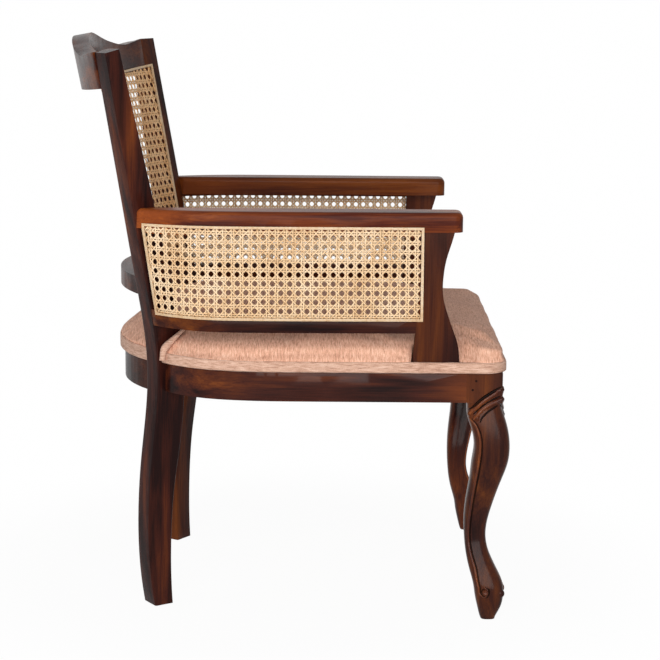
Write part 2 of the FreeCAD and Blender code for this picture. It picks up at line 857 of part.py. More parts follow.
def end_share(curve, distance):
    """Share of a curve's parameter that lies a distance before its end."""
    value = curve.parameterAtDistance(curve.length() - distance, curve.FirstParameter)
    return (value - curve.FirstParameter) / (curve.LastParameter - curve.FirstParameter)


def past_share(curve, share, distance):
    """Share of a curve's parameter that lies a distance past another share."""
    begin = curve.FirstParameter + share * (curve.LastParameter - curve.FirstParameter)
    value = curve.parameterAtDistance(distance, begin)
    return (value - curve.FirstParameter) / (curve.LastParameter - curve.FirstParameter)


def arm_skin(label, heights, thickness, before=0.0, after=0.0, only_start=0.0, only_end=0.0):
    """Thin solid on the arm's outer face between heights, less a stretch at either end."""
    front = size("support_rear_y") - size("arm_cane_support_lap") - size("reed_width")
    near, inset = size("cane_gap"), size("arm_cane_rear_inset")
    sections = []
    for height in heights:
        curve = arm_curve(height, 0)
        begin, finish = share_at(curve, front), end_share(curve, inset)
        if only_start:
            finish = past_share(curve, begin, only_start)
        if before:
            begin = past_share(curve, begin, before)
        if after:
            finish = end_share(curve, inset + after)
        if only_end:
            begin = end_share(curve, inset + only_end)
        sections.append((height, band(curve, near, near + thickness, begin, finish)))
    return loft_body(label, sections, ruled=True)


# (openings across, openings up) of the plain grid that stands for the weave's small holes
ARM_GRID_COUNTS = (12, 4)
BACK_GRID_COUNTS = (12, 8)
# the open part of each cell of that grid
GRID_OPEN_SHARE = 0.55


def weave_openings(label, curve_at, low, high, counts, clear_start, clear_end):
    """Boxes through a woven panel in even cells, square to its face, between two heights and two ends."""
    across, up = counts
    cell_height = (high - low) / up
    tall, reach = cell_height * GRID_OPEN_SHARE, size("reed_width")
    cutters = []
    for row in range(up):
        middle = low + (row + 0.5) * cell_height
        curve = curve_at(middle)
        first = curve.parameterAtDistance(clear_start(curve), curve.FirstParameter)
        cell = (curve.length() - clear_start(curve) - clear_end) / across
        wide = cell * GRID_OPEN_SHARE
        for column in range(across):
            value = curve.parameterAtDistance((column + 0.5) * cell, first)
            turn = Rotation(Vector(1, 0, 0), curve.tangent(value)[0])
            corner = turn.multVec(Vector(-wide / 2, -2 * reach, -tall / 2))
            spot = curve.value(value) + Vector(0, 0, middle) + corner
            cutters.append(box("%s_%d_%d" % (label, row, column), wide, 4 * reach, tall, Placement(spot, turn)))
    return group(label, cutters)


def arm_cane_heights():
    """Levels of the woven panel on an arm, from its bottom past the armrest's underside."""
    low = size("arm_rail_bottom") + size("arm_rail_height") - size("arm_cane_bottom_lap")
    under = size("arm_top") - size("arm_thickness")
    return [low, (low + under) / 2, under, under + size("arm_cane_top_lap")]


def make_arm_cane():
    """Thin woven panel stretched over the outer faces of arm, support and rail."""
    reed = size("reed_width")
    sheet_body = arm_skin("arm_cane_sheet", arm_cane_heights(), size("cane_thickness"), before=reed, after=reed)

    def up_to_support(curve):
        value = curve.FirstParameter + share_at(curve, size("support_rear_y")) * (
            curve.LastParameter - curve.FirstParameter
        )
        return curve.length(curve.FirstParameter, value)

    openings = weave_openings(
        "arm_weave_openings", lambda height: arm_curve(height, 0), size("arm_rail_bottom") + size("arm_rail_height"),
        size("arm_top") - size("arm_thickness"), ARM_GRID_COUNTS, up_to_support,
        size("arm_cane_rear_inset") + 2 * reed,
    )
    return cut("arm_cane_panel", sheet_body, openings)


def make_arm_reed():
    """Flat reed that frames the woven panel."""
    levels = arm_cane_heights()
    low, high = levels[0], levels[-1]
    reed, thick = size("reed_width"), size("reed_thickness")
    top = arm_skin("arm_reed_top", (high, high + reed), thick)
    bottom = arm_skin("arm_reed_bottom", (low - reed, low), thick)
    front = arm_skin("arm_reed_front", levels, thick, only_start=reed)
    rear = arm_skin("arm_reed_rear", levels, thick, only_end=reed)
    return group("arm_reed_frame", [top, bottom, front, rear])


# Back
# (share of the half width between the legs, share of the dip below the hump) along the crest's top
CREST_TOP_SHARES = [
    (0.0, 0.0), (0.11, 0.05), (0.235, 0.20), (0.365, 0.42), (0.464, 0.59), (0.555, 0.73), (0.648, 0.87),
    (0.735, 0.97), (0.80, 1.0), (0.89, 0.955), (0.946, 0.92), (1.0, 0.905), (1.12, 0.89),
]
# how far past the leg's inner corner a bowed board is drawn before it is trimmed
BOARD_SWEEP_SHARE = 1.25


def back_bow(height):
    """How far the middle of the back lies behind its ends at a height."""
    low = size("lower_rail_bottom") + size("lower_rail_height") / 2
    high = size("crest_bottom") + size("crest_dip")
    share = (height - low) / (high - low)
    return size("lower_rail_bow") + (size("crest_bow") - size("lower_rail_bow")) * share


def back_round(height):
    """Radius, rearmost y and sweep of the back's front face at a height."""
    corner = leg_point(height, leg_front, size("rear_leg_thickness"))
    half, depth = -corner.x, back_bow(height)
    radius = (half * half + depth * depth) / (2 * depth)
    return radius, corner.y + depth, math.asin(half / radius)


def bowed_section(height, thickness):
    """Plan of a bowed board whose front face runs into the legs' front edges."""
    radius, rear_y, sweep = back_round(height)
    return round_band(radius + thickness, rear_y + thickness, thickness, sweep * BOARD_SWEEP_SHARE)


def back_tilt():
    """How far the back leans beside the crest, in radians."""
    low, high = size("crest_bottom"), size("crest_bottom") + size("crest_height") - size("crest_dip")
    thick = size("rear_leg_thickness")
    return math.atan2(leg_point(high, leg_front, thick).y - leg_point(low, leg_front, thick).y, high - low)


def crest_place():
    """Frame of the crest: across, square through the board, and up along its slope."""
    radius, rear_y, sweep = back_round(size("crest_bottom"))
    return Placement(
        Vector(0, rear_y, size("crest_bottom")), Rotation(Vector(1, 0, 0), -math.degrees(back_tilt()))
    )


def crest_slab(label, low, high):
    """Slab square through the crest between two distances above its underside."""
    over = size("rear_leg_length") / 2
    return box(label, over * 2, over * 2, high - low, crest_place() * Placement(Vector(-over, -over, low), Rotation()))


def make_crest(dowels):
    """Bowed top board with a raised middle, sawn square through its own slope."""
    low, high = size("crest_bottom"), size("crest_bottom") + size("crest_height")
    dip, thick = size("crest_dip"), size("crest_thickness")
    levels = (low - dip, low + dip, high + dip)
    board = loft_body("crest_board", [(z, bowed_section(z, thick)) for z in levels], ruled=True)
    half = -leg_point(high - dip, leg_front, size("rear_leg_thickness")).x
    top = [(half * x, size("crest_height") - dip * drop) for x, drop in CREST_TOP_SHARES]
    top_edge = spline([(-x, up) for x, up in reversed(top[1:])] + top)
    under = [(top_edge.EndPoint.x, 0), (top_edge.StartPoint.x, 0)]
    outline = [
        top_edge, line(top_edge.EndPoint, under[0]), line(under[0], under[1]), line(under[1], top_edge.StartPoint),
    ]
    depth = size("rear_leg_length")
    profile = pad_body("crest_profile", FRONT_PLANE, outline, "sizes.rear_leg_length")
    if profile.Shape.BoundBox.YMax < depth / 2:
        profile.Tip.Reversed = True
        doc.recompute()
    profile.Placement = crest_place() * Placement(Vector(0, -depth / 2, 0), Rotation())
    shaped = common("crest_shaped", board, profile)
    trimmed = cut("crest_trimmed", shaped, both_inner_cutters)
    return cut("crest_rail", trimmed, dowels)


def make_lower_back_rail(dowels):
    """Bowed rail below the woven back; its rear face stands upright."""
    low = size("lower_rail_bottom")
    high = low + size("lower_rail_height")
    thick = size("lower_rail_thickness")
    radius, rear_y, sweep = back_round((low + high) / 2)
    rear = bow(radius + thick, rear_y + thick, sweep * BOARD_SWEEP_SHARE)
    sections = []
    for height in (low, high):
        radius, rear_y, sweep = back_round(height)
        sections.append((height, between(rear, bow(radius, rear_y, sweep * BOARD_SWEEP_SHARE))))
    board = loft_body("lower_back_board", sections, ruled=True)
    trimmed = cut("lower_back_trimmed", board, both_inner_cutters)
    return cut("lower_back_rail", trimmed, dowels)


def back_curve(height, lap):
    """Front face of the back in plan at a height, lapped onto both legs."""
    corner = leg_point(height, leg_front, size("rear_leg_thickness"))
    radius, rear_y, sweep = back_round(height)
    edge = corner + sideways * lap
    points = [(edge.x, edge.y)]
    steps = 8
    for index in range(steps + 1):
        direction = sweep * (2 * index / steps - 1)
        points.append((radius * math.sin(direction), rear_y - radius * (1 - math.cos(direction))))
    points.append((-edge.x, edge.y))
    return spline(points)


def back_skin(label, heights, thickness, before=0.0, after=0.0, only_start=0.0, only_end=0.0):
    """Thin solid on the front of the back between heights."""
    near = -size("back_cane_gap")
    sections = []
    for height in heights:
        curve = back_curve(height, size("back_cane_lap"))
        begin, finish = 0.0, 1.0
        if before:
            begin = past_share(curve, 0.0, before)
        if after:
            finish = end_share(curve, after)
        if only_start:
            finish = past_share(curve, 0.0, only_start)
        if only_end:
            begin = end_share(curve, only_end)
        sections.append((height, band(curve, near, near - thickness, begin, finish)))
    return loft_body(label, sections, ruled=True)


def back_cane_heights():
    """Levels of the woven back, from the lower rail to past its slanted upper edge."""
    low = size("lower_rail_bottom") + size("lower_rail_height") - size("cane_lap")
    high = size("crest_bottom") + size("crest_dip")
    steps = 6
    return [low + (high - low) * index / steps for index in range(steps + 1)]


def make_back_cane():
    """Bowed woven panel in front of the back's frame."""
    reed, lap = size("reed_width"), size("cane_crest_lap")
    sheet_body = back_skin("back_cane_sheet", back_cane_heights(), size("cane_thickness"), before=reed, after=reed)
    headed = cut("back_cane_headed", sheet_body, crest_slab("back_cane_head", lap, size("crest_height")))
    side = size("back_cane_lap") + reed
    openings = weave_openings(
        "back_weave_openings", lambda height: back_curve(height, size("back_cane_lap")),
        size("lower_rail_bottom") + size("lower_rail_height"), size("crest_bottom") - lap, BACK_GRID_COUNTS,
        lambda curve: side, side,
    )
    return cut("back_cane", headed, openings)


def make_back_reed():
    """Flat reed that frames the woven back."""
    levels = back_cane_heights()
    low = levels[0]
    reed, thick, lap = size("reed_width"), size("reed_thickness"), size("cane_crest_lap")
    above = crest_slab("back_reed_head", lap, size("crest_height"))
    edge = crest_slab("back_reed_edge", lap, lap + reed)
    top = common("back_reed_top", back_skin("back_reed_head_strip", levels[-2:], thick), edge)
    bottom = back_skin("back_reed_bottom", (low - reed, low), thick)
    right = cut("back_reed_right", back_skin("back_reed_right_strip", levels, thick, only_start=reed), above)
    left = cut("back_reed_left", back_skin("back_reed_left_strip", levels, thick, only_end=reed), above)
    return group("back_cane_reed", [top, bottom, right, left])


# Seat board, cushion, band
# (share of the cushion's height, share of the seat's plan, forward shift as a share of the height) up the crown
CROWN_SHARES = [
    (0.000, 1.000, 0.000), (0.193, 0.997, 0.008), (0.304, 0.990, 0.040), (0.399, 0.980, 0.079),
    (0.462, 0.968, 0.111), (0.517, 0.950, 0.127), (0.565, 0.918, 0.127), (0.612, 0.870, 0.111),
    (0.668, 0.790, 0.079), (0.747, 0.690, 0.047), (0.842, 0.560, 0.016), (0.929, 0.390, 0.000),
    (0.984, 0.200, 0.000), (1.000, 0.080, 0.000),
]


def seat_chain(extra):
    """Right half of the seat's edge in plan, front corner to rear leg, moved out by a distance."""
    front, radius = size("seat_front_y"), size("seat_corner_radius")
    outer_x = size("side_rail_x")
    target = meeting_point(size("seat_rail_top"), SIDE_RAIL_MEETS_SHARE)
    bend_y = target.y - size("side_rail_bend_length")
    curve = bent_curve(outer_x, front + radius, bend_y, target, SIDE_BEND_SHARES, 0)
    if extra:
        curve = shifted(curve, extra, count=25)
    reach = radius + extra
    centre = Vector(-outer_x + radius, front + radius, 0)
    side = reach * math.sqrt(0.5)
    corner = arc((centre.x, centre.y - reach), (centre.x - side, centre.y - side), curve.StartPoint)
    return corner, curve


def flipped(point):
    """The same plan point on the other side of the chair."""
    return Vector(-point.x, point.y, 0)


def mirror_edge(edge):
    """A spline or arc on the other side of the chair."""
    if isinstance(edge, Part.BSplineCurve):
        count = 25
        return spline([flipped(p) for p, n in along(edge, count)])
    first, last = edge.FirstParameter, edge.LastParameter
    return arc(flipped(edge.value(first)), flipped(edge.value((first + last) / 2)), flipped(edge.value(last)))


def seat_outline(scale, forward=0.0):
    """Whole seat in plan, shrunk about its middle by a scale and moved forward."""
    corner, side = seat_chain(0)
    radius, back_y = size("rear_rail_radius"), size("rear_rail_back_y")
    hold = leg_point(size("seat_rail_top"), leg_front, size("rear_leg_thickness"))
    end_x = -hold.x + size("rear_leg_thickness") / 2 * math.sin(turn)
    centre_y = back_y - radius
    end_y = centre_y + math.sqrt(radius * radius - end_x * end_x)
    middle = Vector(0, (size("seat_front_y") + back_y) / 2, 0)

    def scaled(point):
        return middle + (Vector(point.x, point.y, 0) - middle) * scale - Vector(0, forward, 0)

    def scaled_edge(edge, mirror):
        turned = flipped if mirror else (lambda point: point)
        if isinstance(edge, Part.BSplineCurve):
            return spline([scaled(turned(p)) for p, n in along(edge, 21)])
        first, last = edge.FirstParameter, edge.LastParameter
        values = [edge.value(first), edge.value((first + last) / 2), edge.value(last)]
        return arc(*[scaled(turned(v)) for v in values])

    corner_right, side_right = scaled_edge(corner, False), scaled_edge(side, False)
    corner_left, side_left = scaled_edge(corner, True), scaled_edge(side, True)
    rear_right, rear_left = scaled(Vector(-end_x, end_y, 0)), scaled(Vector(end_x, end_y, 0))
    rear = arc(rear_right, scaled(Vector(0, back_y, 0)), rear_left)
    return [
        side_right, line(side_right.EndPoint, rear_right), rear, line(rear_left, side_left.EndPoint),
        side_left, corner_left, line(corner_left.StartPoint, corner_right.StartPoint), corner_right,
    ]


def seat_notches(label, clearance):
    """Room for the two rear legs and the two arm supports in seat board or cushion."""
    top = size("seat_rail_top") + size("seat_board_thickness") + size("cushion_height")
    low = size("seat_rail_top") - size("overrun")
    heights = (size("seat_rail_top"), top)
    first = min(offset_at(leg_front, z) for z in heights) - clearance
    last = max(offset_at(leg_back, z) for z in heights) + clearance
    thick = size("rear_leg_thickness")
    leg_room = leg_block(
        label + "_leg", first, last, -thick - clearance, clearance, low, top + size("overrun")
    )
    rear, foot_width = size("support_rear_y"), size("support_foot_width")
    inner = -size("arm_outer_x") + size("support_thickness") + clearance
    outer = -size("arm_outer_x") - size("overrun")
    front = rear - foot_width * SUPPORT_FRONT_SHARES[-1][1] - clearance
    back = rear + foot_width * SUPPORT_HEEL_SHARE + clearance
    support_room = box(
        label + "_support", inner - outer, back - front, top - low + size("overrun"),
        Placement(Vector(outer, front, low), Rotation()),
    )
    right = group(label + "_right", [leg_room, support_room])
    return group(label, [right, mirrored(label + "_left", right)])


def make_seat_board(screws):
    """Plywood seat board, notched for rear legs and arm supports."""
    board = pad_body(
        "seat_board_blank", TOP_PLANE, seat_outline(1.0), "sizes.seat_board_thickness",
        height=size("seat_rail_top"), formula="sizes.seat_rail_top",
    )
    notched = cut("seat_board_notched", board, seat_notches("board_notches", size("notch_clearance")))
    return cut("seat_board", notched, screws)


def make_cushion():
    """Crowned upholstered cushion with drawn-in sides."""
    base = size("seat_rail_top") + size("seat_board_thickness") + size("cloth_gap")
    tall = size("cushion_height")
    levels = [(base + up * tall, seat_outline(wide, ahead * tall)) for up, wide, ahead in CROWN_SHARES]
    crown = loft_body("cushion_crown", levels, ruled=True)
    return cut("seat_cushion", crown, seat_notches("cushion_notches", size("cushion_clearance")))


def make_front_band():
    """Fabric band round the front and sides of the seat board."""
    near, far = size("cloth_gap"), size("cloth_gap") + size("band_thickness")
    chains = []
    for extra in (near, far):
        corner, side = seat_chain(extra)
        chains.append((corner, side, mirror_edge(corner), mirror_edge(side)))
    outline = []
    for corner, side, corner_left, side_left in chains:
        outline += [side, corner, line(corner.StartPoint, corner_left.StartPoint), corner_left, side_left]
    inner, outer = chains
    outline += [line(inner[1].EndPoint, outer[1].EndPoint), line(inner[3].EndPoint, outer[3].EndPoint)]
    strip = pad_body(
        "front_band_strip", TOP_PLANE, outline, "sizes.band_height",
        height=size("seat_rail_top") + size("cloth_gap"), formula="sizes.seat_rail_top + sizes.cloth_gap",
    )
    clear = leg_block(
        "band_leg_room", -size("overrun"), size("rear_leg_rake"), -size("rear_leg_thickness"),
        size("cloth_gap"), size("seat_rail_top") - size("overrun"), size("seat_rail_top") + size("overrun"),
    )
    both = group("band_leg_rooms", [clear, mirrored("band_leg_room_left", clear)])
    return cut("seat_front_band", strip, both)


def make_rear_band():
    """Fabric band behind the bowed rear rail."""
    radius = size("rear_rail_radius") + size("cloth_gap") + size("band_thickness")
    outer_y = size("rear_rail_back_y") + size("cloth_gap") + size("band_thickness")
    outline = round_band(radius, outer_y, size("band_thickness"), REAR_SWEEP)
    low = size("seat_rail_top") + size("seat_board_thickness") - size("rear_band_height")
    strip = pad_body(
        "rear_band_strip", TOP_PLANE, outline, "sizes.rear_band_height", height=low,
        formula="sizes.seat_rail_top + sizes.seat_board_thickness - sizes.rear_band_height",
    )
    return cut("seat_rear_band", strip, both_inner_cutters)


# Fixings
def leg_dowel(label, height, back, depth, radius="sizes.dowel_radius", length="sizes.dowel_length"):
    """Dowel square through one face of the right rear leg."""
    long = size(length.split(".")[1])
    place = leg_place * Placement(Vector(back, -depth - long / 2, height), Rotation(Vector(1, 0, 0), -90))
    return rod(label, radius, length, place)


def make_leg_dowels():
    """Dowels of the seat rails, the back and the arm in the right rear leg."""
    thick, radius = size("rear_leg_thickness"), size("dowel_radius")
    spread = radius * 3
    rail_middle = size("seat_rail_top") - size("seat_rail_height") / 2
    front_at = lambda z: offset_at(leg_front, z)
    back_at = lambda z: offset_at(leg_back, z)
    seat = []
    for sign in (-1, 1):
        side_back = front_at(rail_middle) + (back_at(rail_middle) - front_at(rail_middle)) * SIDE_DOWEL_SHARE
        seat.append(leg_dowel("side_rail_dowel_%d" % (sign + 1), rail_middle + sign * spread, side_back, 0))
        rear_back = front_at(rail_middle) + (back_at(rail_middle) - front_at(rail_middle)) * REAR_DOWEL_SHARE
        seat.append(leg_dowel("rear_rail_dowel_%d" % (sign + 1), rail_middle + sign * spread, rear_back, thick))
    back = []
    crest_middle = size("crest_bottom") + size("crest_height") / 2
    lower_middle = size("lower_rail_bottom") + size("lower_rail_height") / 2
    for sign in (-1, 1):
        height = crest_middle + sign * spread
        back.append(leg_dowel("crest_dowel_%d" % (sign + 1), height, (front_at(height) + back_at(height)) / 2, thick))
    low_back = front_at(lower_middle) + size("lower_rail_thickness") / 2
    for sign in (-1, 1):
        back.append(leg_dowel("lower_rail_dowel_%d" % (sign + 1), lower_middle + sign * radius * 1.7, low_back, thick))
    return group("seat_dowels_right", seat), group("back_dowels_right", back)


SIDE_DOWEL_SHARE = 0.44
REAR_DOWEL_SHARE = 0.30


def make_arm_dowels():
    """Dowels of the armrest, its support and its lower rail, right side."""
    radius, length = "sizes.arm_dowel_radius", "sizes.arm_dowel_length"
    half = size("arm_dowel_length") / 2
    arm_middle = size("arm_top") - size("arm_thickness") / 2
    rail_middle = size("arm_rail_bottom") + size("arm_rail_height") / 2
    items = []
    for index, share in enumerate((0.3, 0.7)):
        back = offset_at(leg_front, arm_middle) * (1 - share) + offset_at(leg_back, arm_middle) * share
        items.append(leg_dowel("arm_rear_dowel_%d" % index, arm_middle, back, 0, radius, length))
    rail_back = offset_at(leg_back, rail_middle) - size("arm_rail_thickness") / 2
    items.append(leg_dowel("arm_rail_rear_dowel", rail_middle, rail_back, 0, radius, length))
    middle_x = -size("arm_outer_x") + size("support_thickness") / 2
    rear = size("support_rear_y")
    for index, share in enumerate((0.2, 0.6)):
        y = rear - size("support_foot_width") * share
        for name, z in (("head", size("arm_top") - size("arm_thickness")), ("foot", size("seat_rail_top"))):
            items.append(rod("support_%s_dowel_%d" % (name, index), radius, length,
                             Placement(Vector(middle_x, y, z - half), Rotation())))
    items.append(rod("arm_rail_front_dowel", radius, length, Placement(
        Vector(-size("arm_outer_x") + size("arm_rail_thickness") / 2, rear + half, rail_middle),
        Rotation(Vector(1, 0, 0), 90),
    )))
    return group("arm_dowels_right", items)


def make_leg_pegs():
    """Two small pegs that pin the side rail's tongue in the right front leg."""
    block_back = size("front_leg_y") + size("leg_block_depth") / 2
    face = -size("side_rail_x") - size("cloth_gap")
    items = []
    for index, (back, drop) in enumerate(((0.58, 0.27), (0.38, 0.57))):
        place = Placement(
            Vector(face, block_back - size("tenon_length") * back,
                   size("seat_rail_top") - size("seat_rail_height") * drop),
            Rotation(Vector(0, 1, 0), 90),
        )
        items.append(rod("leg_peg_%d" % index, "sizes.peg_radius", "sizes.peg_length", place))
    return group("leg_pegs_right", items)


def make_board_screw():
    """Countersunk screw up through the right corner block into the seat board."""
    third = size("corner_block_leg") / 3
    x = -size("side_rail_x") + size("seat_rail_thickness") + third
    y = size("front_leg_y") + size("leg_block_depth") / 2 + third
    low = size("seat_rail_top") - size("corner_block_drop") - size("corner_block_height")
    shank = rod("screw_shank", "sizes.screw_radius", "sizes.screw_length", Placement(Vector(x, y, low), Rotation()))
    head = doc.addObject("Part::Cone", "screw_head")
    head.setExpression("Radius1", "sizes.screw_head_radius")
    head.setExpression("Radius2", "sizes.screw_radius")
    head.setExpression("Height", "sizes.screw_head_height")
    head.Placement = Placement(Vector(x, y, low), Rotation())
    return fuse("board_screw_right", [shank, head])


# Assembly
seat_dowels, back_dowels = make_leg_dowels()
arm_dowels = make_arm_dowels()
leg_pegs = make_leg_pegs()
board_screw = make_board_screw()
seat_dowels_left = mirrored("seat_dowels_left", seat_dowels)
back_dowels_left = mirrored("back_dowels_left", back_dowels)
board_screw_left = mirrored("board_screw_left", board_screw)
seat_dowel_set = group("seat_frame_dowels", [seat_dowels, seat_dowels_left])
back_dowel_set = group("back_frame_dowels", [back_dowels, back_dowels_left])
screw_set = group("seat_board_screws", [board_screw, board_screw_left])
side_tongue, front_tongue = side_tenon(), front_tenon()
front_tongue_left = mirrored("front_rail_tongue_left", front_tongue)

pair("rear_leg", cut("rear_leg_drilled", make_rear_leg(), group("leg_holes", [seat_dowels, back_dowels, arm_dowels])))
pair("front_leg", make_front_leg(group("front_leg_mortises", [side_tongue, front_tongue, leg_pegs])))
pair("side_rail", make_side_rail(side_tongue, group("side_rail_holes", [seat_dowels, arm_dowels, leg_pegs])))
keep(make_front_rail(front_tongue, front_tongue_left))
keep(make_rear_rail(seat_dowel_set))
corner_block = make_corner_blocks(board_screw)
keep(group("corner_blocks", [corner_block, mirrored("corner_block_left", corner_block)]))
keep(make_seat_board(screw_set))
keep(make_cushion())
keep(make_front_band())
keep(make_rear_band())
pair("armrest", make_armrest(arm_dowels))
pair("arm_support", make_support(arm_dowels))
pair("arm_rail", make_arm_rail(arm_dowels))
pair("arm_cane", make_arm_cane())
pair("arm_cane_reed", make_arm_reed())
keep(make_crest(back_dowel_set))
keep(make_lower_back_rail(back_dowel_set))
keep(make_back_cane())
keep(make_back_reed())
keep(seat_dowel_set)
keep(back_dowel_set)
keep(group("arm_joint_dowels", [arm_dowels, mirrored("arm_dowels_left", arm_dowels)]))
keep(group("front_leg_pegs", [leg_pegs, mirrored("leg_pegs_left", leg_pegs)]))
keep(screw_set)

# Checks and export
doc.recompute()
for item in doc.Objects:
    if "Invalid" in item.State or "Error" in item.State:
        raise RuntimeError("%s is in a failed state" % item.Label)
for item in nodes:
    if item.Shape.isNull() or not item.Shape.isValid():
        raise RuntimeError("%s has no valid shape" % item.Label)
    if not item.Shape.Solids:
        raise RuntimeError("%s holds no solid" % item.Label)

os.makedirs("parts", exist_ok=True)
for item in nodes:
    item.Shape.exportStep(os.path.join("parts", item.Label + ".step"))
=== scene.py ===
import math

import bpy
import numpy as np
from mathutils import Matrix, Vector, noise
from mathutils.bvhtree import BVHTree


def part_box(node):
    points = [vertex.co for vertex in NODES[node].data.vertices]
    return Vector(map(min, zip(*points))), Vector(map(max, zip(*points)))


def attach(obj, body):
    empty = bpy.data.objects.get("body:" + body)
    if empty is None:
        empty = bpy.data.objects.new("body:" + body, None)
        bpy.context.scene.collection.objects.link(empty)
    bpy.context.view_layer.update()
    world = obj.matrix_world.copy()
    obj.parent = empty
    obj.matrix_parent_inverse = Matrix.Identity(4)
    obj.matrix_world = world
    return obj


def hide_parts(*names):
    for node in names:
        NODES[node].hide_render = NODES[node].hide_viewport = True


# A dark hardwood armchair with woven cane arms and back and a chenille seat.
# Metres, +Z up, the chair faces -Y.

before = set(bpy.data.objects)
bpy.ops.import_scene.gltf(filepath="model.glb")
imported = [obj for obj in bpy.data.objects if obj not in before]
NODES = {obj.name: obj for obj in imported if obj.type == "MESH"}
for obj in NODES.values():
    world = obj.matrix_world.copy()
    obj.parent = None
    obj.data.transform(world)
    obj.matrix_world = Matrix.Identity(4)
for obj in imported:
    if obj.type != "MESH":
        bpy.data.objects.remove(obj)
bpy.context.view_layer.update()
MM = 0.001

# Photograph's camera
PICTURE_PIXELS = 660
FOCAL_PIXELS = 1936.7
SENSOR_WIDTH = 36.0
CAMERA_PLACE = Vector((-3.2, -0.075, 0.995))
CAMERA_YAW = 0.0015
CAMERA_DIP = 0.1791
CAMERA_ROLL = 0.0071

# Woven cane
PANEL_SKIN = 0.8 * MM
BACK_PULL = 4 * MM
PULL_RISE = 40 * MM
ARM_PITCH = (13.3 * MM, 14.1 * MM)
BACK_PITCH = (13.4 * MM, 14.0 * MM)
STRAND_WIDTH = 2.75 * MM
STRAND_THICKNESS = 0.6 * MM
PAIR_GAP = 0.8 * MM
DIAGONAL_WIDTH = 2.6 * MM
WEAVE_DEPTH = 0.5 * MM
ARM_HOLE_ROW = 496.3 * MM

# Seat fabric
SWELL_PRESSURE = 4.0
SWELL_CAP = 5 * MM
SWELL_FRAMES = 20
SOFT_GAP = 0.8 * MM
SIDE_FULLNESS = 4.5 * MM
FOOT_FULLNESS = 3.5 * MM
FRONT_FULLNESS = 3.0 * MM
CROWN_LIFT = 11 * MM
CROWN_MIDDLE = 50 * MM
COVER_TONES = ((180, 128, 102), (216, 160, 133), (234, 181, 153), (248, 206, 181))
BAND_TONES = ((158, 118, 98), (190, 148, 126), (208, 168, 146), (222, 188, 168))
REAR_CROWN_LIFT = 11 * MM
REAR_BAND_HEIGHTS = (395 * MM, 415 * MM)
TUCK_PLACE = (-0.283, -0.281, 0.442)
TUCK_DEPTH = 26 * MM
TUCK_REACH = (0.050, 0.013, 0.030)

# Strip over the cushion's edge, from its foot upwards: distance out in mm, then the rear and the front edge
# in the photograph's pixels
NOTCH_ROWS = [
    (236, (159.3, 360.5), (165, 361)), (236, (159.3, 353), (166, 356)), (236, (160, 346.4), (167, 351.4)),
    (232, (167.1, 340.7), (172.8, 344.7)), (222, (174.3, 335), (178.6, 338)),
    (210, (181.4, 329.3), (184.3, 331.4)), (204, (184.4, 326.8), (186.5, 328.8)),
]

# Carved lines on the near front leg's outer face, in the photograph's pixels, and the distances out at which
# they are traced, in mm
KNEE_OUT = 287
LINE_OUT = 282
UPPER_RIDGE_PIXELS = [(501.5, 390.5), (499.2, 391.8), (493.3, 395.6), (485, 401), (476.7, 408.5)]
LOWER_RIDGE_PIXELS = [(502.5, 399.3), (501.7, 399.8), (495, 403.5), (485, 409.3), (476.7, 416)]
# Rows of dark groove shade beside the ridges; the dark tubes laid along them are painted shade
UPPER_GROOVE_PIXELS = [(501, 387.5), (493.3, 391.8), (480.8, 400.2), (469.2, 411)]
MIDDLE_GROOVE_PIXELS = [(500.5, 396.5), (492, 400.8), (482, 407.2), (473.5, 415)]
LOWER_GROOVE_PIXELS = [(498, 406.5), (490, 411), (482.5, 417.7)]
LEG_LINE_PIXELS = [
    (482.4, 450), (480, 470), (477, 490), (474.4, 510), (472.4, 530), (472, 544), (474, 558), (478, 572),
    (480, 584),
]

# Ends of those lines, y and z in mm
UPPER_RIDGE_END = (-287.5, 336.4)
LOWER_RIDGE_END = (-292.7, 327.5)
LOWER_GROOVE_END = (-303.4, 324)
LEG_LINE_HEAD = [(-291.5, 329), (-301, 318), (-307, 300)]
LEG_CURL = [(-311, 54.5), (-312.4, 45.5), (-319.6, 39.5), (-325.2, 45.5), (-324.3, 53), (-318, 55)]
FOOT_EYE = (-318, 47.5)
FOOT_EYE_RADIUS = 5.0 * MM
EYE_RING = 6.0
LINER_TALL = 7 * MM
LINER_HEIGHT = 614.4 * MM
LINER_NEAR = 2.2 * MM
LINER_FAR = 10 * MM
LINER_STEPS = 40


# Photograph's rays and plain meshes
def camera_axes():
    """Directions in which the photograph's camera looks, and of its right and its top."""
    cos_dip, sin_dip = math.cos(CAMERA_DIP), math.sin(CAMERA_DIP)
    ahead = Vector((cos_dip * math.cos(CAMERA_YAW), cos_dip * math.sin(CAMERA_YAW), -sin_dip))
    right = ahead.cross(Vector((0, 0, 1))).normalized()
    up = right.cross(ahead)
    cos_roll, sin_roll = math.cos(CAMERA_ROLL), math.sin(CAMERA_ROLL)
    return ahead, cos_roll * right + sin_roll * up, cos_roll * up - sin_roll * right


def traced(pixels, out):
    """Places, y and z in mm, that pixels of the photograph show on the plane so many mm out on the near side."""
    ahead, right, up = camera_axes()
    middle = PICTURE_PIXELS / 2
    found = []
    for across, down in pixels:
        ray = ahead + (right * (across - middle) - up * (down - middle)) / FOCAL_PIXELS
        spot = CAMERA_PLACE + ray * ((-out * MM - CAMERA_PLACE.x) / ray.x)
        found.append((spot.y / MM, spot.z / MM))
    return found


def mesh_object(name, corners, faces, smooth=False):
    """New object in the scene from corners and faces."""
    mesh = bpy.data.meshes.new(name)
    mesh.from_pydata([tuple(corner) for corner in corners], [], faces)
    if smooth:
        mesh.polygons.foreach_set("use_smooth", [True] * len(mesh.polygons))
    item = bpy.data.objects.new(name, mesh)
    bpy.context.scene.collection.objects.link(item)
    return item


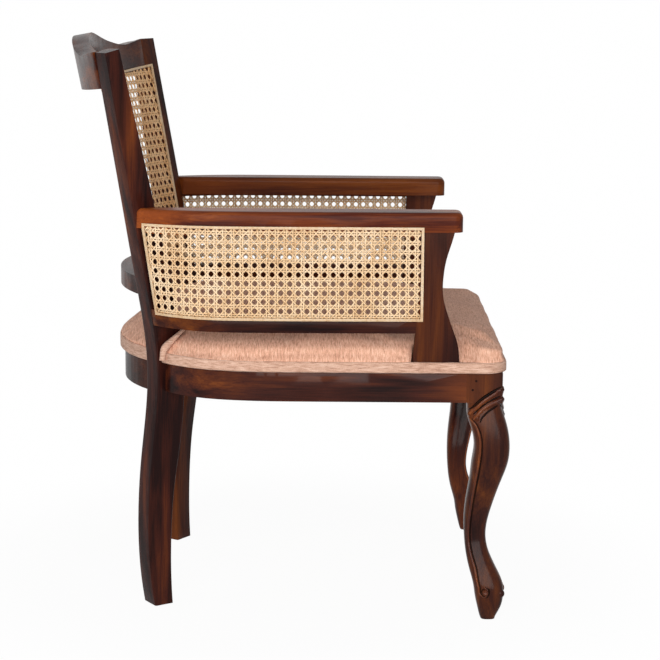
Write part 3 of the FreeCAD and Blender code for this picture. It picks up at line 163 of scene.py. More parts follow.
# Materials
class Value:
    """Output of a shader node; arithmetic on it adds Math nodes."""

    def __init__(self, shader, socket):
        self.shader = shader
        self.socket = socket

    def math(self, operation, *others):
        inputs = dict(enumerate((self,) + others))
        return self.shader.node("ShaderNodeMath", {"operation": operation}, inputs)

    def __add__(self, other):
        return self.math("ADD", other)

    def __radd__(self, other):
        return self.math("ADD", other)

    def __sub__(self, other):
        return self.math("SUBTRACT", other)

    def __rsub__(self, other):
        return self.shader.node("ShaderNodeMath", {"operation": "SUBTRACT"}, {0: other, 1: self})

    def __mul__(self, other):
        return self.math("MULTIPLY", other)

    def __rmul__(self, other):
        return self.math("MULTIPLY", other)


class Shader:
    """Node tree of one material."""

    def __init__(self, name):
        self.material = bpy.data.materials.new(name)
        self.material.use_nodes = True
        self.tree = self.material.node_tree
        self.surface = self.tree.nodes["Principled BSDF"]

    def node(self, kind, settings=None, inputs=None, output=0):
        """One node: its settings first, then the values or links of its sockets."""
        item = self.tree.nodes.new(kind)
        for key, value in (settings or {}).items():
            if key == "stops":
                self.fill_ramp(item.color_ramp, value)
            else:
                setattr(item, key, value)
        for key, value in (inputs or {}).items():
            self.feed(item.inputs[key], value)
        return Value(self, item.outputs[output])

    def feed(self, socket, value):
        if isinstance(value, Value):
            self.tree.links.new(value.socket, socket)
        else:
            socket.default_value = value

    def fill_ramp(self, ramp, stops):
        while len(ramp.elements) < len(stops):
            ramp.elements.new(0.5)
        for element, (place, colour) in zip(ramp.elements, stops):
            element.position = place
            element.color = colour if len(colour) == 4 else (*colour, 1.0)

    def place(self, offset=(0, 0, 0)):
        """Place on the object in metres, shifted so that each piece shows its own grain."""
        spot = self.node("ShaderNodeTexCoord", output="Object")
        return self.node("ShaderNodeVectorMath", {"operation": "ADD"}, {0: spot, 1: offset})

    def stretched(self, vector, repeats):
        """The vector times a count of repeats a metre along each axis."""
        return self.node("ShaderNodeVectorMath", {"operation": "MULTIPLY"}, {0: vector, 1: repeats})

    def noise(self, vector, detail=2.0, roughness=0.5, distortion=0.0):
        inputs = {"Vector": vector, "Scale": 1.0, "Detail": detail, "Roughness": roughness,
                  "Distortion": distortion}
        return self.node("ShaderNodeTexNoise", None, inputs)

    def ramp(self, value, stops):
        return self.node("ShaderNodeValToRGB", {"stops": stops}, {0: value})

    def between(self, value, low, high):
        """0 below low, 1 above high, smooth between."""
        inputs = {0: value, 1: low, 2: high, 3: 0.0, 4: 1.0}
        return self.node("ShaderNodeMapRange", {"interpolation_type": "SMOOTHSTEP", "clamp": True}, inputs)

    def blend(self, factor, first, second):
        """Mix of two colours."""
        inputs = {0: factor, 6: first, 7: second}
        return self.node("ShaderNodeMix", {"data_type": "RGBA", "blend_type": "MIX"}, inputs, 2)

    def finish(self, colour, roughness, height=None, depth=MM, strength=1.0, **fixed):
        """Feed the surface; fixed sockets carry one value all over."""
        self.feed(self.surface.inputs["Base Color"], colour)
        self.feed(self.surface.inputs["Roughness"], roughness)
        if height is not None:
            relief = {"Strength": strength, "Distance": depth, "Height": height}
            self.feed(self.surface.inputs["Normal"], self.node("ShaderNodeBump", None, relief))
        for key, value in fixed.items():
            self.surface.inputs[key.replace("_", " ").title().replace("Ior", "IOR")].default_value = value
        return self.material


def srgb(red, green, blue):
    """Linear colour of a screen colour given in 0 to 255."""
    shares = [value / 255 for value in (red, green, blue)]
    return tuple(s / 12.92 if s <= 0.04045 else ((s + 0.055) / 1.055) ** 2.4 for s in shares) + (1.0,)


def hardwood(name, grain, light=1.0, patches=0.5, offset=(0, 0, 0), gloss=0.05, warmth=0.0):
    """Dark figured wood under lacquer: soft clouds along one axis, faint streaks and pores."""
    shader = Shader(name)
    spot = shader.place(offset)

    def clouded(across, along, *noise_settings):
        repeats = [across] * 3
        repeats[grain] = along
        return shader.noise(shader.stretched(spot, repeats), *noise_settings)

    cloud = clouded(15.0, 2.6, 2.0, 0.5, 0.6)
    figure = clouded(55.0, 4.0, 3.0, 0.55, 0.5)
    streak = clouded(420.0, 12.0, 3.0, 0.6, 0.2)
    pores = shader.between(clouded(1600.0, 90.0, 1.0, 0.5), 0.60, 0.72)
    tone = cloud * 0.50 + figure * 0.36 + streak * 0.14 + warmth
    dark, mid = srgb(32 * light, 14 * light, 13 * light), srgb(66 * light, 29 * light, 21 * light)
    warm, pale = srgb(94 * light, 45 * light, 23 * light), srgb(130 * light, 68 * light, 28 * light)
    colour = shader.ramp(tone, [(0.39, dark), (0.48, mid), (0.55, warm), (0.64, pale)])
    patch = shader.between(clouded(8.0, 3.5, 1.0, 0.5), 0.50, 0.70)
    colour = shader.blend(patch * patches, colour, srgb(142 * light, 72 * light, 32 * light))
    colour = shader.blend(pores * 0.25, colour, srgb(26, 12, 10))
    roughness = streak * 0.14 + pores * 0.12 + 0.22
    height = streak * 0.25 - pores * 0.6 + figure * 0.3
    return shader.finish(colour, roughness, height, 0.2 * MM, 0.3,
                         coat_weight=gloss, coat_roughness=0.17, specular_ior_level=0.02)


def cane_fibre(name, tone=1.0, amber=0.0):
    """Split cane: pale gold with darker flecks and lengthwise fibres."""
    shader = Shader(name)

    def shade(red, green, blue):
        return srgb(red * tone, green * tone * (1 - amber * 0.4), blue * tone * (1 - amber))

    spot = shader.place()
    cloud = shader.noise(shader.stretched(spot, (22, 22, 22)), 3.0, 0.6)
    fleck = shader.noise(shader.stretched(spot, (240, 240, 240)), 2.0, 0.6)
    fibre = shader.noise(shader.stretched(spot, (1400, 1400, 1400)), 2.0, 0.6)
    colour = shader.ramp(cloud * 0.5 + fleck * 0.5, [
        (0.30, shade(206, 158, 108)),
        (0.46, shade(238, 200, 154)),
        (0.62, shade(250, 222, 186)),
    ])
    spots = shader.between(fleck, 0.64, 0.74)
    colour = shader.blend(spots * 0.5, colour, srgb(128, 74, 38))
    return shader.finish(colour, fibre * 0.2 + 0.38, fibre, 0.15 * MM, 0.4,
                         coat_weight=0.1, coat_roughness=0.25)


def chenille(name, ribs, tones):
    """Ribbed pile fabric: ribs are fine repeats a metre along each axis, tones run from dark to pale."""
    shader = Shader(name)
    spot = shader.place()
    ribbed = shader.stretched(spot, ribs)
    rib = shader.noise(ribbed, 2.0, 0.55, 0.15)
    coarse = shader.noise(shader.stretched(ribbed, (0.6, 0.6, 0.6)), 2.0, 0.6)
    tuft = shader.noise(shader.stretched(spot, (800, 800, 800)), 2.0, 0.6)
    mottle = shader.noise(shader.stretched(spot, (20, 20, 20)), 3.0, 0.6)
    tone = rib * 0.44 + coarse * 0.20 + tuft * 0.26 + mottle * 0.10
    places = (0.38, 0.46, 0.53, 0.62)
    colour = shader.ramp(tone, [(place, srgb(*shade)) for place, shade in zip(places, tones)])
    height = rib * 0.6 + tuft * 0.35 + coarse * 0.3
    return shader.finish(colour, 0.88 - rib * 0.1, height, 0.9 * MM, 0.75,
                         sheen_weight=0.05, sheen_roughness=0.5)


def bare_wood(name, pale, dark, repeats):
    """Plain unfinished wood with streaks."""
    shader = Shader(name)
    streak = shader.noise(shader.stretched(shader.place(), repeats), 3.0, 0.6)
    colour = shader.ramp(streak, [(0.35, dark), (0.62, pale)])
    return shader.finish(colour, streak * 0.2 + 0.55, streak, 0.2 * MM, 0.4)


def zinc_plate(name):
    """Plated screw steel with faint mottling."""
    shader = Shader(name)
    cloud = shader.noise(shader.stretched(shader.place(), (900, 900, 900)), 3.0, 0.6)
    colour = shader.ramp(cloud, [(0.35, (0.42, 0.42, 0.43)), (0.65, (0.62, 0.62, 0.60))])
    return shader.finish(colour, cloud * 0.2 + 0.25, cloud, 0.05 * MM, 0.3, metallic=1.0)


# Carried-over solids
def clothe(name, material):
    """Give a solid its material."""
    NODES[name].data.materials.clear()
    NODES[name].data.materials.append(material)


def soften(name, width, segments=2, angle=32):
    """Round the sharp edges of a solid by a small modifier."""
    piece = NODES[name]
    weld = piece.modifiers.new("weld", "WELD")
    weld.merge_threshold = 0.02 * MM
    bevel = piece.modifiers.new("edges", "BEVEL")
    bevel.width = width
    bevel.segments = segments
    bevel.limit_method = "ANGLE"
    bevel.angle_limit = math.radians(angle)
    bevel.use_clamp_overlap = True
    bevel.harden_normals = True


def dress_wood():
    """Wood for every rigid piece: its grain's axis, lightness, patches, gloss and warmth."""
    along_x, along_y, upright = 0, 1, 2
    pieces = {
        "rear_leg_right": (upright, 0.97, 0.05, 0.10, -0.05),
        "rear_leg_left": (upright, 0.84, 0.3, 0.12, 0.0),
        "front_leg_right": (upright, 0.78, 0.4, 0.16, 0.02),
        "front_leg_left": (upright, 0.98, 0.4, 0.15, 0.02),
        "side_rail_right": (along_y, 0.92, 0.3, 0.18, 0.01),
        "side_rail_left": (along_y, 0.92, 0.3, 0.18, 0.01),
        "front_rail": (along_x, 0.92, 0.3, 0.18, 0.01),
        "rear_rail": (along_x, 0.80, 0.1, 0.11, -0.02),
        "corner_blocks": (along_x, 1.0, 0.2, 0.05, 0.0),
        "armrest_right": (along_y, 1.18, 0.6, 0.07, 0.07),
        "armrest_left": (along_y, 0.88, 0.4, 0.07, 0.03),
        "arm_support_right": (upright, 0.80, 0.1, 0.08, -0.02),
        "arm_support_left": (upright, 0.86, 0.15, 0.08, 0.0),
        "arm_rail_right": (along_y, 0.84, 0.2, 0.1, 0.0),
        "arm_rail_left": (along_y, 0.84, 0.2, 0.1, 0.0),
        "crest_rail": (along_x, 0.90, 0.2, 0.2, 0.0),
        "lower_back_rail": (along_x, 0.85, 0.3, 0.1, 0.0),
    }
    for index, (name, (grain, light, patches, gloss, warmth)) in enumerate(pieces.items()):
        offset = (index * 0.37, index * 0.53, index * 0.71)
        clothe(name, hardwood(name + "_wood", grain, light, patches, offset, gloss, warmth))
        soften(name, 1.0 * MM)
    clothe("front_leg_pegs", hardwood("peg_wood", along_y, 0.5, 0.0))


# Carving, painted groove shade and liners
class Bars:
    """Collects round bars of changing radius as one mesh."""

    SIDES = 8

    def __init__(self):
        self.corners = []
        self.faces = []

    def add(self, points, radii):
        first, count, side = len(self.corners), len(points), None
        for index, (spot, radius) in enumerate(zip(points, radii)):
            ahead = (points[min(index + 1, count - 1)] - points[max(index - 1, 0)]).normalized()
            side = ahead.orthogonal() if side is None else side - ahead * side.dot(ahead)
            side.normalize()
            other = ahead.cross(side)
            for k in range(self.SIDES):
                angle = 2 * math.pi * k / self.SIDES
                self.corners.append(spot + (side * math.cos(angle) + other * math.sin(angle)) * radius)
        for row in range(count - 1):
            for k in range(self.SIDES):
                a, b = first + row * self.SIDES + k, first + row * self.SIDES + (k + 1) % self.SIDES
                self.faces.append((a, b, b + self.SIDES, a + self.SIDES))
        last = len(self.corners) - self.SIDES
        self.faces.append(tuple(reversed(range(first, first + self.SIDES))))
        self.faces.append(tuple(range(last, last + self.SIDES)))

    def piece(self, name, material):
        item = mesh_object(name, self.corners, self.faces, smooth=True)
        item.data.materials.append(material)
        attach(item, "root")
        return item


def fine_row(stations, step):
    """Smooth row of points through the stations."""
    ends = [stations[0]] + list(stations) + [stations[-1]]
    found = []
    for before, start, end, after in zip(ends, ends[1:], ends[2:], ends[3:]):
        count = max(2, round(math.dist(start, end) / step))
        for k in range(count):
            t = k / count
            found.append(tuple(
                0.5 * (2 * b + (c - a) * t + (2 * a - 5 * b + 4 * c - d) * t * t
                       + (3 * b - a - 3 * c + d) * t ** 3)
                for a, b, c, d in zip(before, start, end, after)
            ))
    return found + [stations[-1]]


class LegFace:
    """Outer side or front of a front leg; a place is a level across the face and a height."""

    def __init__(self, tree, sign, front):
        self.tree, self.sign, self.front = tree, sign, front

    def meet(self, level, height):
        """Where a straight line from outside meets the leg."""
        if self.front:
            start, ahead = Vector((level * self.sign, -0.5, height)), Vector((0, 1, 0))
        else:
            start, ahead = Vector((-0.5 * self.sign, level, height)), Vector((self.sign, 0, 0))
        return self.tree.ray_cast(start, ahead)

    def corner(self, height):
        level = -0.36
        while level < -0.2 and self.meet(level, height)[0] is None:
            level += 0.25 * MM
        return level

    def row(self, stations, aside=(0.0, 0.0)):
        """Surface points and normals along stations given on the right leg's outer side, in mm."""
        side = LegFace(self.tree, self.sign, False)
        found = []
        for y, z in fine_row(stations, 3.0):
            height = (z + aside[1]) * MM
            level = max((y + aside[0]) * MM, side.corner(height) + 0.6 * MM)
            if self.front:
                level = self.corner(height) + level - side.corner(height)
            spot, facing = self.meet(level, height)[:2]
            if spot is not None:
                found.append((spot, facing))
        return found


def tapered(count, radius, first=0.7, last=0.6):
    """Radii that start and end thinner."""
    found = []
    for index in range(count):
        share = index / (count - 1)
        rise = first + (1 - first) * smooth_step(share, 0, 0.25)
        fall = last + (1 - last) * (1 - smooth_step(share, 0.7, 1))
        found.append(radius * min(rise, fall))
    return found


def carve_legs():
    """Two ridges over the knee, a line down the leg and its curl round the foot's eye; dark tubes beside them
    and a dark ring round the eye are painted groove shade.
    """
    raised = hardwood("carving_wood", 2, 0.95, 0.5, (3.1, 1.7, 0.4), 0.3, 0.06)
    # Very dark wood for the tubes in the grooves and round the foot's eye: painted shade
    painted_shade_wood = hardwood("painted_groove_shade", 2, 0.35, 0.0, (1.1, 0.7, 2.4), 0.02)
    y, z = FOOT_EYE
    turns = [2 * math.pi * k / 16 for k in range(17)]
    ring = [(y + EYE_RING * math.cos(turn), z + EYE_RING * math.sin(turn)) for turn in turns]
    upper_ridge = traced(UPPER_RIDGE_PIXELS, KNEE_OUT) + [UPPER_RIDGE_END]
    lower_ridge = traced(LOWER_RIDGE_PIXELS, KNEE_OUT) + [LOWER_RIDGE_END]
    lower_groove = traced(LOWER_GROOVE_PIXELS, KNEE_OUT) + [LOWER_GROOVE_END]
    leg_line = LEG_LINE_HEAD + traced(LEG_LINE_PIXELS, LINE_OUT) + LEG_CURL
    # stations, radius in mm, share of the radius that is sunk, shift aside in mm
    raised_lines = [
        (upper_ridge, 4.0, 0.40, (0, 0)), (lower_ridge, 3.2, 0.38, (0, 0)), (leg_line, 2.2, 0.32, (4.2, 0)),
    ]
    # Dark tubes along the grooves, beside the leg line and round the eye: painted shade in the grooves
    painted_shade_lines = [
        (leg_line, 1.7, 0.55, (0.9, 0)), (traced(UPPER_GROOVE_PIXELS, KNEE_OUT), 2.4, 0.55, (0, 0)),
        (traced(MIDDLE_GROOVE_PIXELS, KNEE_OUT), 1.8, 0.5, (0, 0)), (lower_groove, 2.4, 0.6, (0, 0)),
        (ring, 1.3, 0.5, (0, 0)),
    ]
    for hand, sign in (("right", 1), ("left", -1)):
        tree = solid_tree(["front_leg_" + hand])
        ridges, shade_bars = Bars(), Bars()
        for front in (False, True):
            face = LegFace(tree, sign, front)
            for bars, lines in ((ridges, raised_lines), (shade_bars, painted_shade_lines)):
                for stations, radius, sunk, aside in lines:
                    met = face.row(stations, aside)
                    radii = tapered(len(met), radius * MM)
                    bars.add([spot - facing * r * sunk for (spot, facing), r in zip(met, radii)], radii)
            spot, facing = face.row([(y, z), (y - 0.1, z)])[0]
            rises = (-1.0, 0.6, 1.4, 2.0, 2.3)
            shares = (1.0, 0.97, 0.86, 0.62, 0.15)
            radii = [FOOT_EYE_RADIUS * share for share in shares]
            ridges.add([spot + facing * rise * MM for rise in rises], radii)
        ridges.piece("carved_ridges_" + hand, raised)
        shade_bars.piece("carved_grooves_" + hand, painted_shade_wood)


def arm_liner(hand, panel):
    """Slim strip of wood under the armrest, inside the woven panel."""
    height, count = LINER_HEIGHT, LINER_STEPS
    first, last = panel.ends(height)
    corners = []
    for index in range(count + 1):
        run = first + (last - first) * index / count
        facing = panel.normal(run, height)
        facing.z = 0
        facing.normalize()
        spot = panel.place(run, height)
        for depth, up in ((LINER_NEAR, -0.5), (LINER_NEAR, 0.5), (LINER_FAR, 0.5), (LINER_FAR, -0.5)):
            corners.append(spot - facing * depth + Vector((0, 0, up * LINER_TALL)))
    faces = [(3, 2, 1, 0), tuple(range(count * 4, count * 4 + 4))]
    for index in range(count):
        for k in range(4):
            a, b = index * 4 + k, index * 4 + (k + 1) % 4
            faces.append((a, b, b + 4, a + 4))
    item = mesh_object("arm_liner_" + hand, corners, faces)
    item.data.materials.append(NODES["armrest_" + hand].data.materials[0])
    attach(item, "root")


# Woven panels
class Panel:
    """Outer face of a woven sheet, read from its solid: place and normal by run and height."""

    LEVELS = 24
    COLUMNS = 160

    def __init__(self, node, across, outward, middle_origin, skin, pull=0.0):
        self.across, self.deep, self.outward = across, 1 - across, outward
        mesh = NODES[node].data
        self.points = np.array([v.co for v in mesh.vertices])
        self.tree = BVHTree.FromPolygons([v.co for v in mesh.vertices], [p.vertices for p in mesh.polygons])
        low, high = self.points[:, 2].min() + 0.05 * MM, self.points[:, 2].max() - 0.05 * MM
        self.low, self.high = low, high
        self.heights = np.linspace(low, high, self.LEVELS)
        starts, ends = zip(*(self.reach(height) for height in self.heights))
        shares = np.linspace(0, 1, self.COLUMNS)
        start = np.polyval(np.polyfit(self.heights, starts, 1), self.heights)
        end = np.polyval(np.polyfit(self.heights, ends, 1), self.heights)
        self.side = start[:, None] + (end - start)[:, None] * shares[None, :]
        self.depth = np.full(self.side.shape, np.nan)
        for row, height in enumerate(self.heights):
            for column in range(self.COLUMNS):
                self.depth[row, column] = self.hit(self.side[row, column], height)
        self.solid = ~np.isnan(self.depth)
        self.fill_gaps()
        self.depth -= outward * skin
        inward = np.clip((self.heights - low) / PULL_RISE, 0, 1)
        inward *= np.clip((high - self.heights) / PULL_RISE, 0, 1)
        self.depth -= outward * pull * inward[:, None] * np.sin(np.pi * shares)[None, :]
        steps = np.hypot(np.diff(self.side, axis=1), np.diff(self.depth, axis=1))
        self.run = np.concatenate([np.zeros((self.LEVELS, 1)), np.cumsum(steps, axis=1)], axis=1)
        if middle_origin:
            self.run -= self.run[:, self.COLUMNS // 2][:, None]
        self.tops = np.array([self.top_of(column) for column in range(self.COLUMNS)])

    def hit(self, side, height):
        """Depth of the sheet's outer face at a place across and a height."""
        origin = Vector((0, 0, height))
        origin[self.across] = side
        origin[self.deep] = self.outward
        direction = Vector((0, 0, 0))
        direction[self.deep] = -self.outward
        spot = self.tree.ray_cast(origin, direction)[0]
        return np.nan if spot is None else spot[self.deep]

    def reach(self, height):
        """First and last place across at which the sheet is met."""
        low, high = self.points[:, self.across].min(), self.points[:, self.across].max()
        places = [s for s in np.linspace(low, high, 900) if not np.isnan(self.hit(s, height))]
        return places[0], places[-1]

    def fill_gaps(self):
        """Carry the face on where the sheet ends, so that strands can run to its edges."""
        for column in range(self.COLUMNS):
            known = np.flatnonzero(self.solid[:, column])
            if len(known) < 2:
                continue
            slope_rows = known[-2:]
            line = np.polyfit(self.heights[slope_rows], self.depth[slope_rows, column], 1)
            inside = np.interp(self.heights, self.heights[known], self.depth[known, column])
            above = self.heights > self.heights[known[-1]]
            self.depth[:, column] = np.where(above, np.polyval(line, self.heights), inside)
        for row in range(self.LEVELS):
            known = np.flatnonzero(~np.isnan(self.depth[row]))
            self.depth[row] = np.interp(np.arange(self.COLUMNS), known, self.depth[row, known])

    def top_of(self, column):
        """Height of the sheet's upper edge at a column."""
        height = self.high
        while height > self.low and np.isnan(self.hit(self.side[self.rows_at(height)[0], column], height)):
            height -= MM
        return height

    def rows_at(self, height):
        value = (height - self.heights[0]) / (self.heights[1] - self.heights[0])
        row = int(min(max(math.floor(value), 0), self.LEVELS - 2))
        return row, value - row

    def ends(self, height):
        """Run of the first and the last column at a height."""
        row, share = self.rows_at(height)
        first = self.run[row, 0] * (1 - share) + self.run[row + 1, 0] * share
        last = self.run[row, -1] * (1 - share) + self.run[row + 1, -1] * share
        return first, last

    def inside(self, run, height):
        if not self.low <= height <= self.high:
            return False
        first, last = self.ends(height)
        if not first <= run <= last:
            return False
        row, _ = self.rows_at(height)
        return height <= np.interp(run, self.run[row], self.tops)

    def place(self, run, height):
        row, share = self.rows_at(height)
        found = []
        for r in (row, row + 1):
            found.append([np.interp(run, self.run[r], values[r]) for values in (self.side, self.depth)])
        spot = Vector((0, 0, height))
        spot[self.across] = found[0][0] * (1 - share) + found[1][0] * share
        spot[self.deep] = found[0][1] * (1 - share) + found[1][1] * share
        return spot

    def normal(self, run, height):
        nudge = 2 * MM
        aside = self.place(run + nudge, height) - self.place(run - nudge, height)
        upward = self.place(run, height + nudge) - self.place(run, height - nudge)
        facing = aside.cross(upward).normalized()
        return facing if facing[self.deep] * self.outward > 0 else -facing


class Strands:
    """Collects flat strands as one mesh."""

    def __init__(self):
        self.corners = []
        self.faces = []

    def add(self, panel, stations, width, lift):
        """One strand through (run, height) stations; lift(run, height) is how far it stands off the face."""
        count = len(stations)
        first = len(self.corners)
        for index, (run, height) in enumerate(stations):
            before = stations[max(index - 1, 0)]
            after = stations[min(index + 1, count - 1)]
            spot = panel.place(run, height)
            facing = panel.normal(run, height)
            ahead = panel.place(*after) - panel.place(*before)
            side = ahead.cross(facing).normalized() * (width / 2)
            middle = spot + facing * lift(run, height)
            thick = facing * (STRAND_THICKNESS / 2)
            self.corners += [middle - side, middle + thick, middle + side, middle - thick]
        for index in range(count - 1):
            a = first + index * 4
            for k in range(4):
                self.faces.append((a + k, a + (k + 1) % 4, a + 4 + (k + 1) % 4, a + 4 + k))
        last = first + (count - 1) * 4
        self.faces.append((first + 3, first + 2, first + 1, first))
        self.faces.append((last, last + 1, last + 2, last + 3))

    def piece(self, name, material):
        item = mesh_object(name, self.corners, self.faces, smooth=True)
        item.data.materials.append(material)
        return item


def runs_inside(panel, path, length, step):
    """Stretches of a straight path (run, height by distance) that lie on the panel, cut into steps."""
    fine = 1.0 * MM
    count = int(length / fine) + 1
    flags = [panel.inside(*path(i * fine)) for i in range(count)]
    stretches, begin = [], None
    for index, flag in enumerate(flags + [False]):
        if flag and begin is None:
            begin = index
        if not flag and begin is not None:
            if index - 1 - begin >= 3:
                stretches.append((begin * fine, (index - 1) * fine))
            begin = None
    found = []
    for low, high in stretches:
        pieces = max(2, round((high - low) / step))
        found.append([path(low + (high - low) * k / pieces) for k in range(pieces + 1)])
    return found


def weave(name, panel, pitch, hole_row, material, replaced):
    """Eight-sided open weave: paired uprights, paired rows and two sets of diagonals."""
    strands = Strands()
    wide, tall = pitch
    first = min(panel.run[:, 0])
    last = max(panel.run[:, -1])
    spread = (STRAND_WIDTH + PAIR_GAP) / 2
    low_row, high_row = (panel.low - hole_row) / tall, (panel.high - hole_row) / tall
    columns = range(math.floor(first / wide) - 1, math.ceil(last / wide) + 1)
    rows = range(math.floor(low_row) - 1, math.ceil(high_row) + 1)

    def over_row(run, height, sign):
        return sign * WEAVE_DEPTH * math.cos(math.pi * ((height - hole_row) / tall - 0.5))

    for column in columns:
        for sign in (-1, 1):
            run = (column + 0.5) * wide + sign * spread
            flip = sign * (-1) ** column
            path = lambda distance, run=run: (run, panel.low + distance)
            for stations in runs_inside(panel, path, panel.high - panel.low, tall / 4):
                strands.add(panel, stations, STRAND_WIDTH, lambda r, h, flip=flip: over_row(r, h, flip))
    for row in rows:
        for sign in (-1, 1):
            height = hole_row + (row + 0.5) * tall + sign * spread
            path = lambda distance, height=height: (first + distance, height)
            for stations in runs_inside(panel, path, last - first, wide / 2):
                strands.add(panel, stations, STRAND_WIDTH, lambda r, h: 0.0)
    for slope in (-1, 1):
        rise = (panel.high - panel.low) / tall * wide
        length = math.hypot(rise, panel.high - panel.low)
        run_rate, height_rate = rise / length, (panel.high - panel.low) / length

        def lift(run, height, slope=slope):
            return -slope * WEAVE_DEPTH * math.cos(2 * math.pi * run / wide)

        start_low = math.floor((first - rise) / wide) - 1
        start_high = math.ceil((last + rise) / wide) + 1
        for column in range(start_low, start_high):
            start = (column + 0.5) * wide + slope * low_row * wide
            path = lambda d, start=start: (start + slope * d * run_rate, panel.low + d * height_rate)
            for stations in runs_inside(panel, path, length, wide * 0.36):
                strands.add(panel, stations, DIAGONAL_WIDTH, lift)
    item = strands.piece(name, material)
    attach(item, "root")
    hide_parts(replaced)
    return item


def make_cane():
    """The two arm panels and the back panel."""
    material = cane_fibre("woven_cane")
    reed = cane_fibre("reed_cane", 0.86)
    for hand, outward in (("right", -1), ("left", 1)):
        panel = Panel("arm_cane_" + hand, 1, outward, False, PANEL_SKIN)
        arm_liner(hand, panel)
        weave("arm_weave_" + hand, panel, ARM_PITCH, ARM_HOLE_ROW, material, "arm_cane_" + hand)
        clothe("arm_cane_reed_" + hand, reed)
        soften("arm_cane_reed_" + hand, 0.8 * MM, 2, 40)
    panel = Panel("back_cane", 0, 1, True, PANEL_SKIN, BACK_PULL)
    weave("back_weave", panel, BACK_PITCH, panel.low, cane_fibre("back_woven_cane", 1.0, 0.14), "back_cane")
    clothe("back_cane_reed", reed)
    soften("back_cane_reed", 0.8 * MM, 2, 40)


# Seat fabric
def soft_copy(node, name, voxel, rounds):
    """Closed, evenly meshed and smoothed copy of a solid."""
    source = NODES[node]
    item = bpy.data.objects.new(name, source.data.copy())
    bpy.context.scene.collection.objects.link(item)
    remesh = item.modifiers.new("remesh", "REMESH")
    remesh.mode = "VOXEL"
    remesh.voxel_size = voxel
    smooth = item.modifiers.new("smooth", "SMOOTH")
    smooth.factor = 0.5
    smooth.iterations = rounds
    bpy.context.view_layer.update()
    graph = bpy.context.evaluated_depsgraph_get()
    mesh = bpy.data.meshes.new_from_object(item.evaluated_get(graph))
    item.modifiers.clear()
    item.data = mesh
    item.data.polygons.foreach_set("use_smooth", [True] * len(mesh.polygons))
    return item


def press_out(item, amount):
    """Move the surface along its normals by amount(place, normal)."""
    moves = [(v, v.normal * amount(v.co, v.normal)) for v in item.data.vertices]
    for vertex, move in moves:
        vertex.co += move
    item.data.update()


def smooth_step(value, low, high):
    share = min(max((value - low) / (high - low), 0.0), 1.0)
    return share * share * (3 - 2 * share)


def solid_tree(names):
    """Search tree over the faces of several solids."""
    corners, faces = [], []
    for name in names:
        mesh = NODES[name].data
        faces += [[len(corners) + index for index in p.vertices] for p in mesh.polygons]
        corners += [v.co.copy() for v in mesh.vertices]
    return BVHTree.FromPolygons(corners, faces)


def held_back(tree, start, move, gap):
    """The move, cut short where it would come nearer to a solid than the gap."""
    length = move.length
    if length < 0.01 * MM:
        return move
    distance = tree.ray_cast(start, move / length, length + gap)[3]
    if distance is None:
        return move
    return move * (max(distance - gap, 0.0) / length)


def fill_out(item, low, neighbours):
    """Widen the sides above the band and lift the middle of the crown."""
    for vertex, facing in [(v, v.normal.copy()) for v in item.data.vertices]:
        up = vertex.co.z - low
        level = Vector((facing.x, facing.y, 0))
        side = smooth_step(level.length, 0.25, 0.7)
        push = SIDE_FULLNESS * side * (1 - smooth_step(up, 34 * MM, 56 * MM))
        push += FOOT_FULLNESS * side * (1 - smooth_step(up, 7 * MM, 18 * MM))
        ahead = smooth_step(-facing.y, 0.2, 0.8) * smooth_step(up, 8 * MM, 24 * MM)
        push += FRONT_FULLNESS * ahead * smooth_step(-vertex.co.y, 0.18, 0.26)
        move = level.normalized() * push if level.length > 0.05 else Vector((0, 0, 0))
        across = math.exp(-((vertex.co.x - CROWN_MIDDLE) / 0.18) ** 2)
        along = smooth_step(vertex.co.y, -0.26, -0.12) * (1 - smooth_step(vertex.co.y, 0.19, 0.26))
        move.z += CROWN_LIFT * across * along * smooth_step(up, 24 * MM, 50 * MM)
        behind = smooth_step(vertex.co.y, 0.05, 0.12) * (1 - smooth_step(vertex.co.y, 0.18, 0.24))
        between_legs = smooth_step(0.22 - abs(vertex.co.x), 0, 0.06)
        move.z += REAR_CROWN_LIFT * behind * between_legs * smooth_step(up, 24 * MM, 44 * MM)
        for hand in (1, -1):
            tuck = (TUCK_PLACE[0] * hand, TUCK_PLACE[1], TUCK_PLACE[2])
            away = [(vertex.co[k] - tuck[k]) / TUCK_REACH[k] for k in range(3)]
            move.x += hand * TUCK_DEPTH * math.exp(-sum(a * a for a in away))
        vertex.co += held_back(neighbours, vertex.co, move, SOFT_GAP)
    item.data.update()


def swell(item, low, neighbours):
    """Fill the cover by pressure without gravity, its foot held; no point moves past the cap."""
    before = [v.co.copy() for v in item.data.vertices]
    foot = item.vertex_groups.new(name="foot")
    foot.add([i for i, place in enumerate(before) if place.z < low + 6 * MM], 1.0, "REPLACE")
    cloth = item.modifiers.new("swell", "CLOTH")
    cloth.settings.quality = 4
    cloth.settings.use_pressure = True
    cloth.settings.uniform_pressure_force = SWELL_PRESSURE
    cloth.settings.vertex_group_mass = "foot"
    cloth.settings.effector_weights.gravity = 0
    scene = bpy.context.scene
    for count in range(1, SWELL_FRAMES + 1):
        scene.frame_set(count)
    graph = bpy.context.evaluated_depsgraph_get()
    after = [v.co.copy() for v in item.evaluated_get(graph).data.vertices]
    item.modifiers.clear()
    item.vertex_groups.clear()
    scene.frame_set(1)
    for vertex, start, end in zip(item.data.vertices, before, after):
        move = end - start
        if move.length > SWELL_CAP:
            move *= SWELL_CAP / move.length
        vertex.co = start + held_back(neighbours, start, move, SOFT_GAP)
    item.data.update()


def one_subdivision(item):
    finer = item.modifiers.new("finer", "SUBSURF")
    finer.levels = 1
    graph = bpy.context.evaluated_depsgraph_get()
    mesh = bpy.data.meshes.new_from_object(item.evaluated_get(graph))
    item.modifiers.clear()
    item.data = mesh


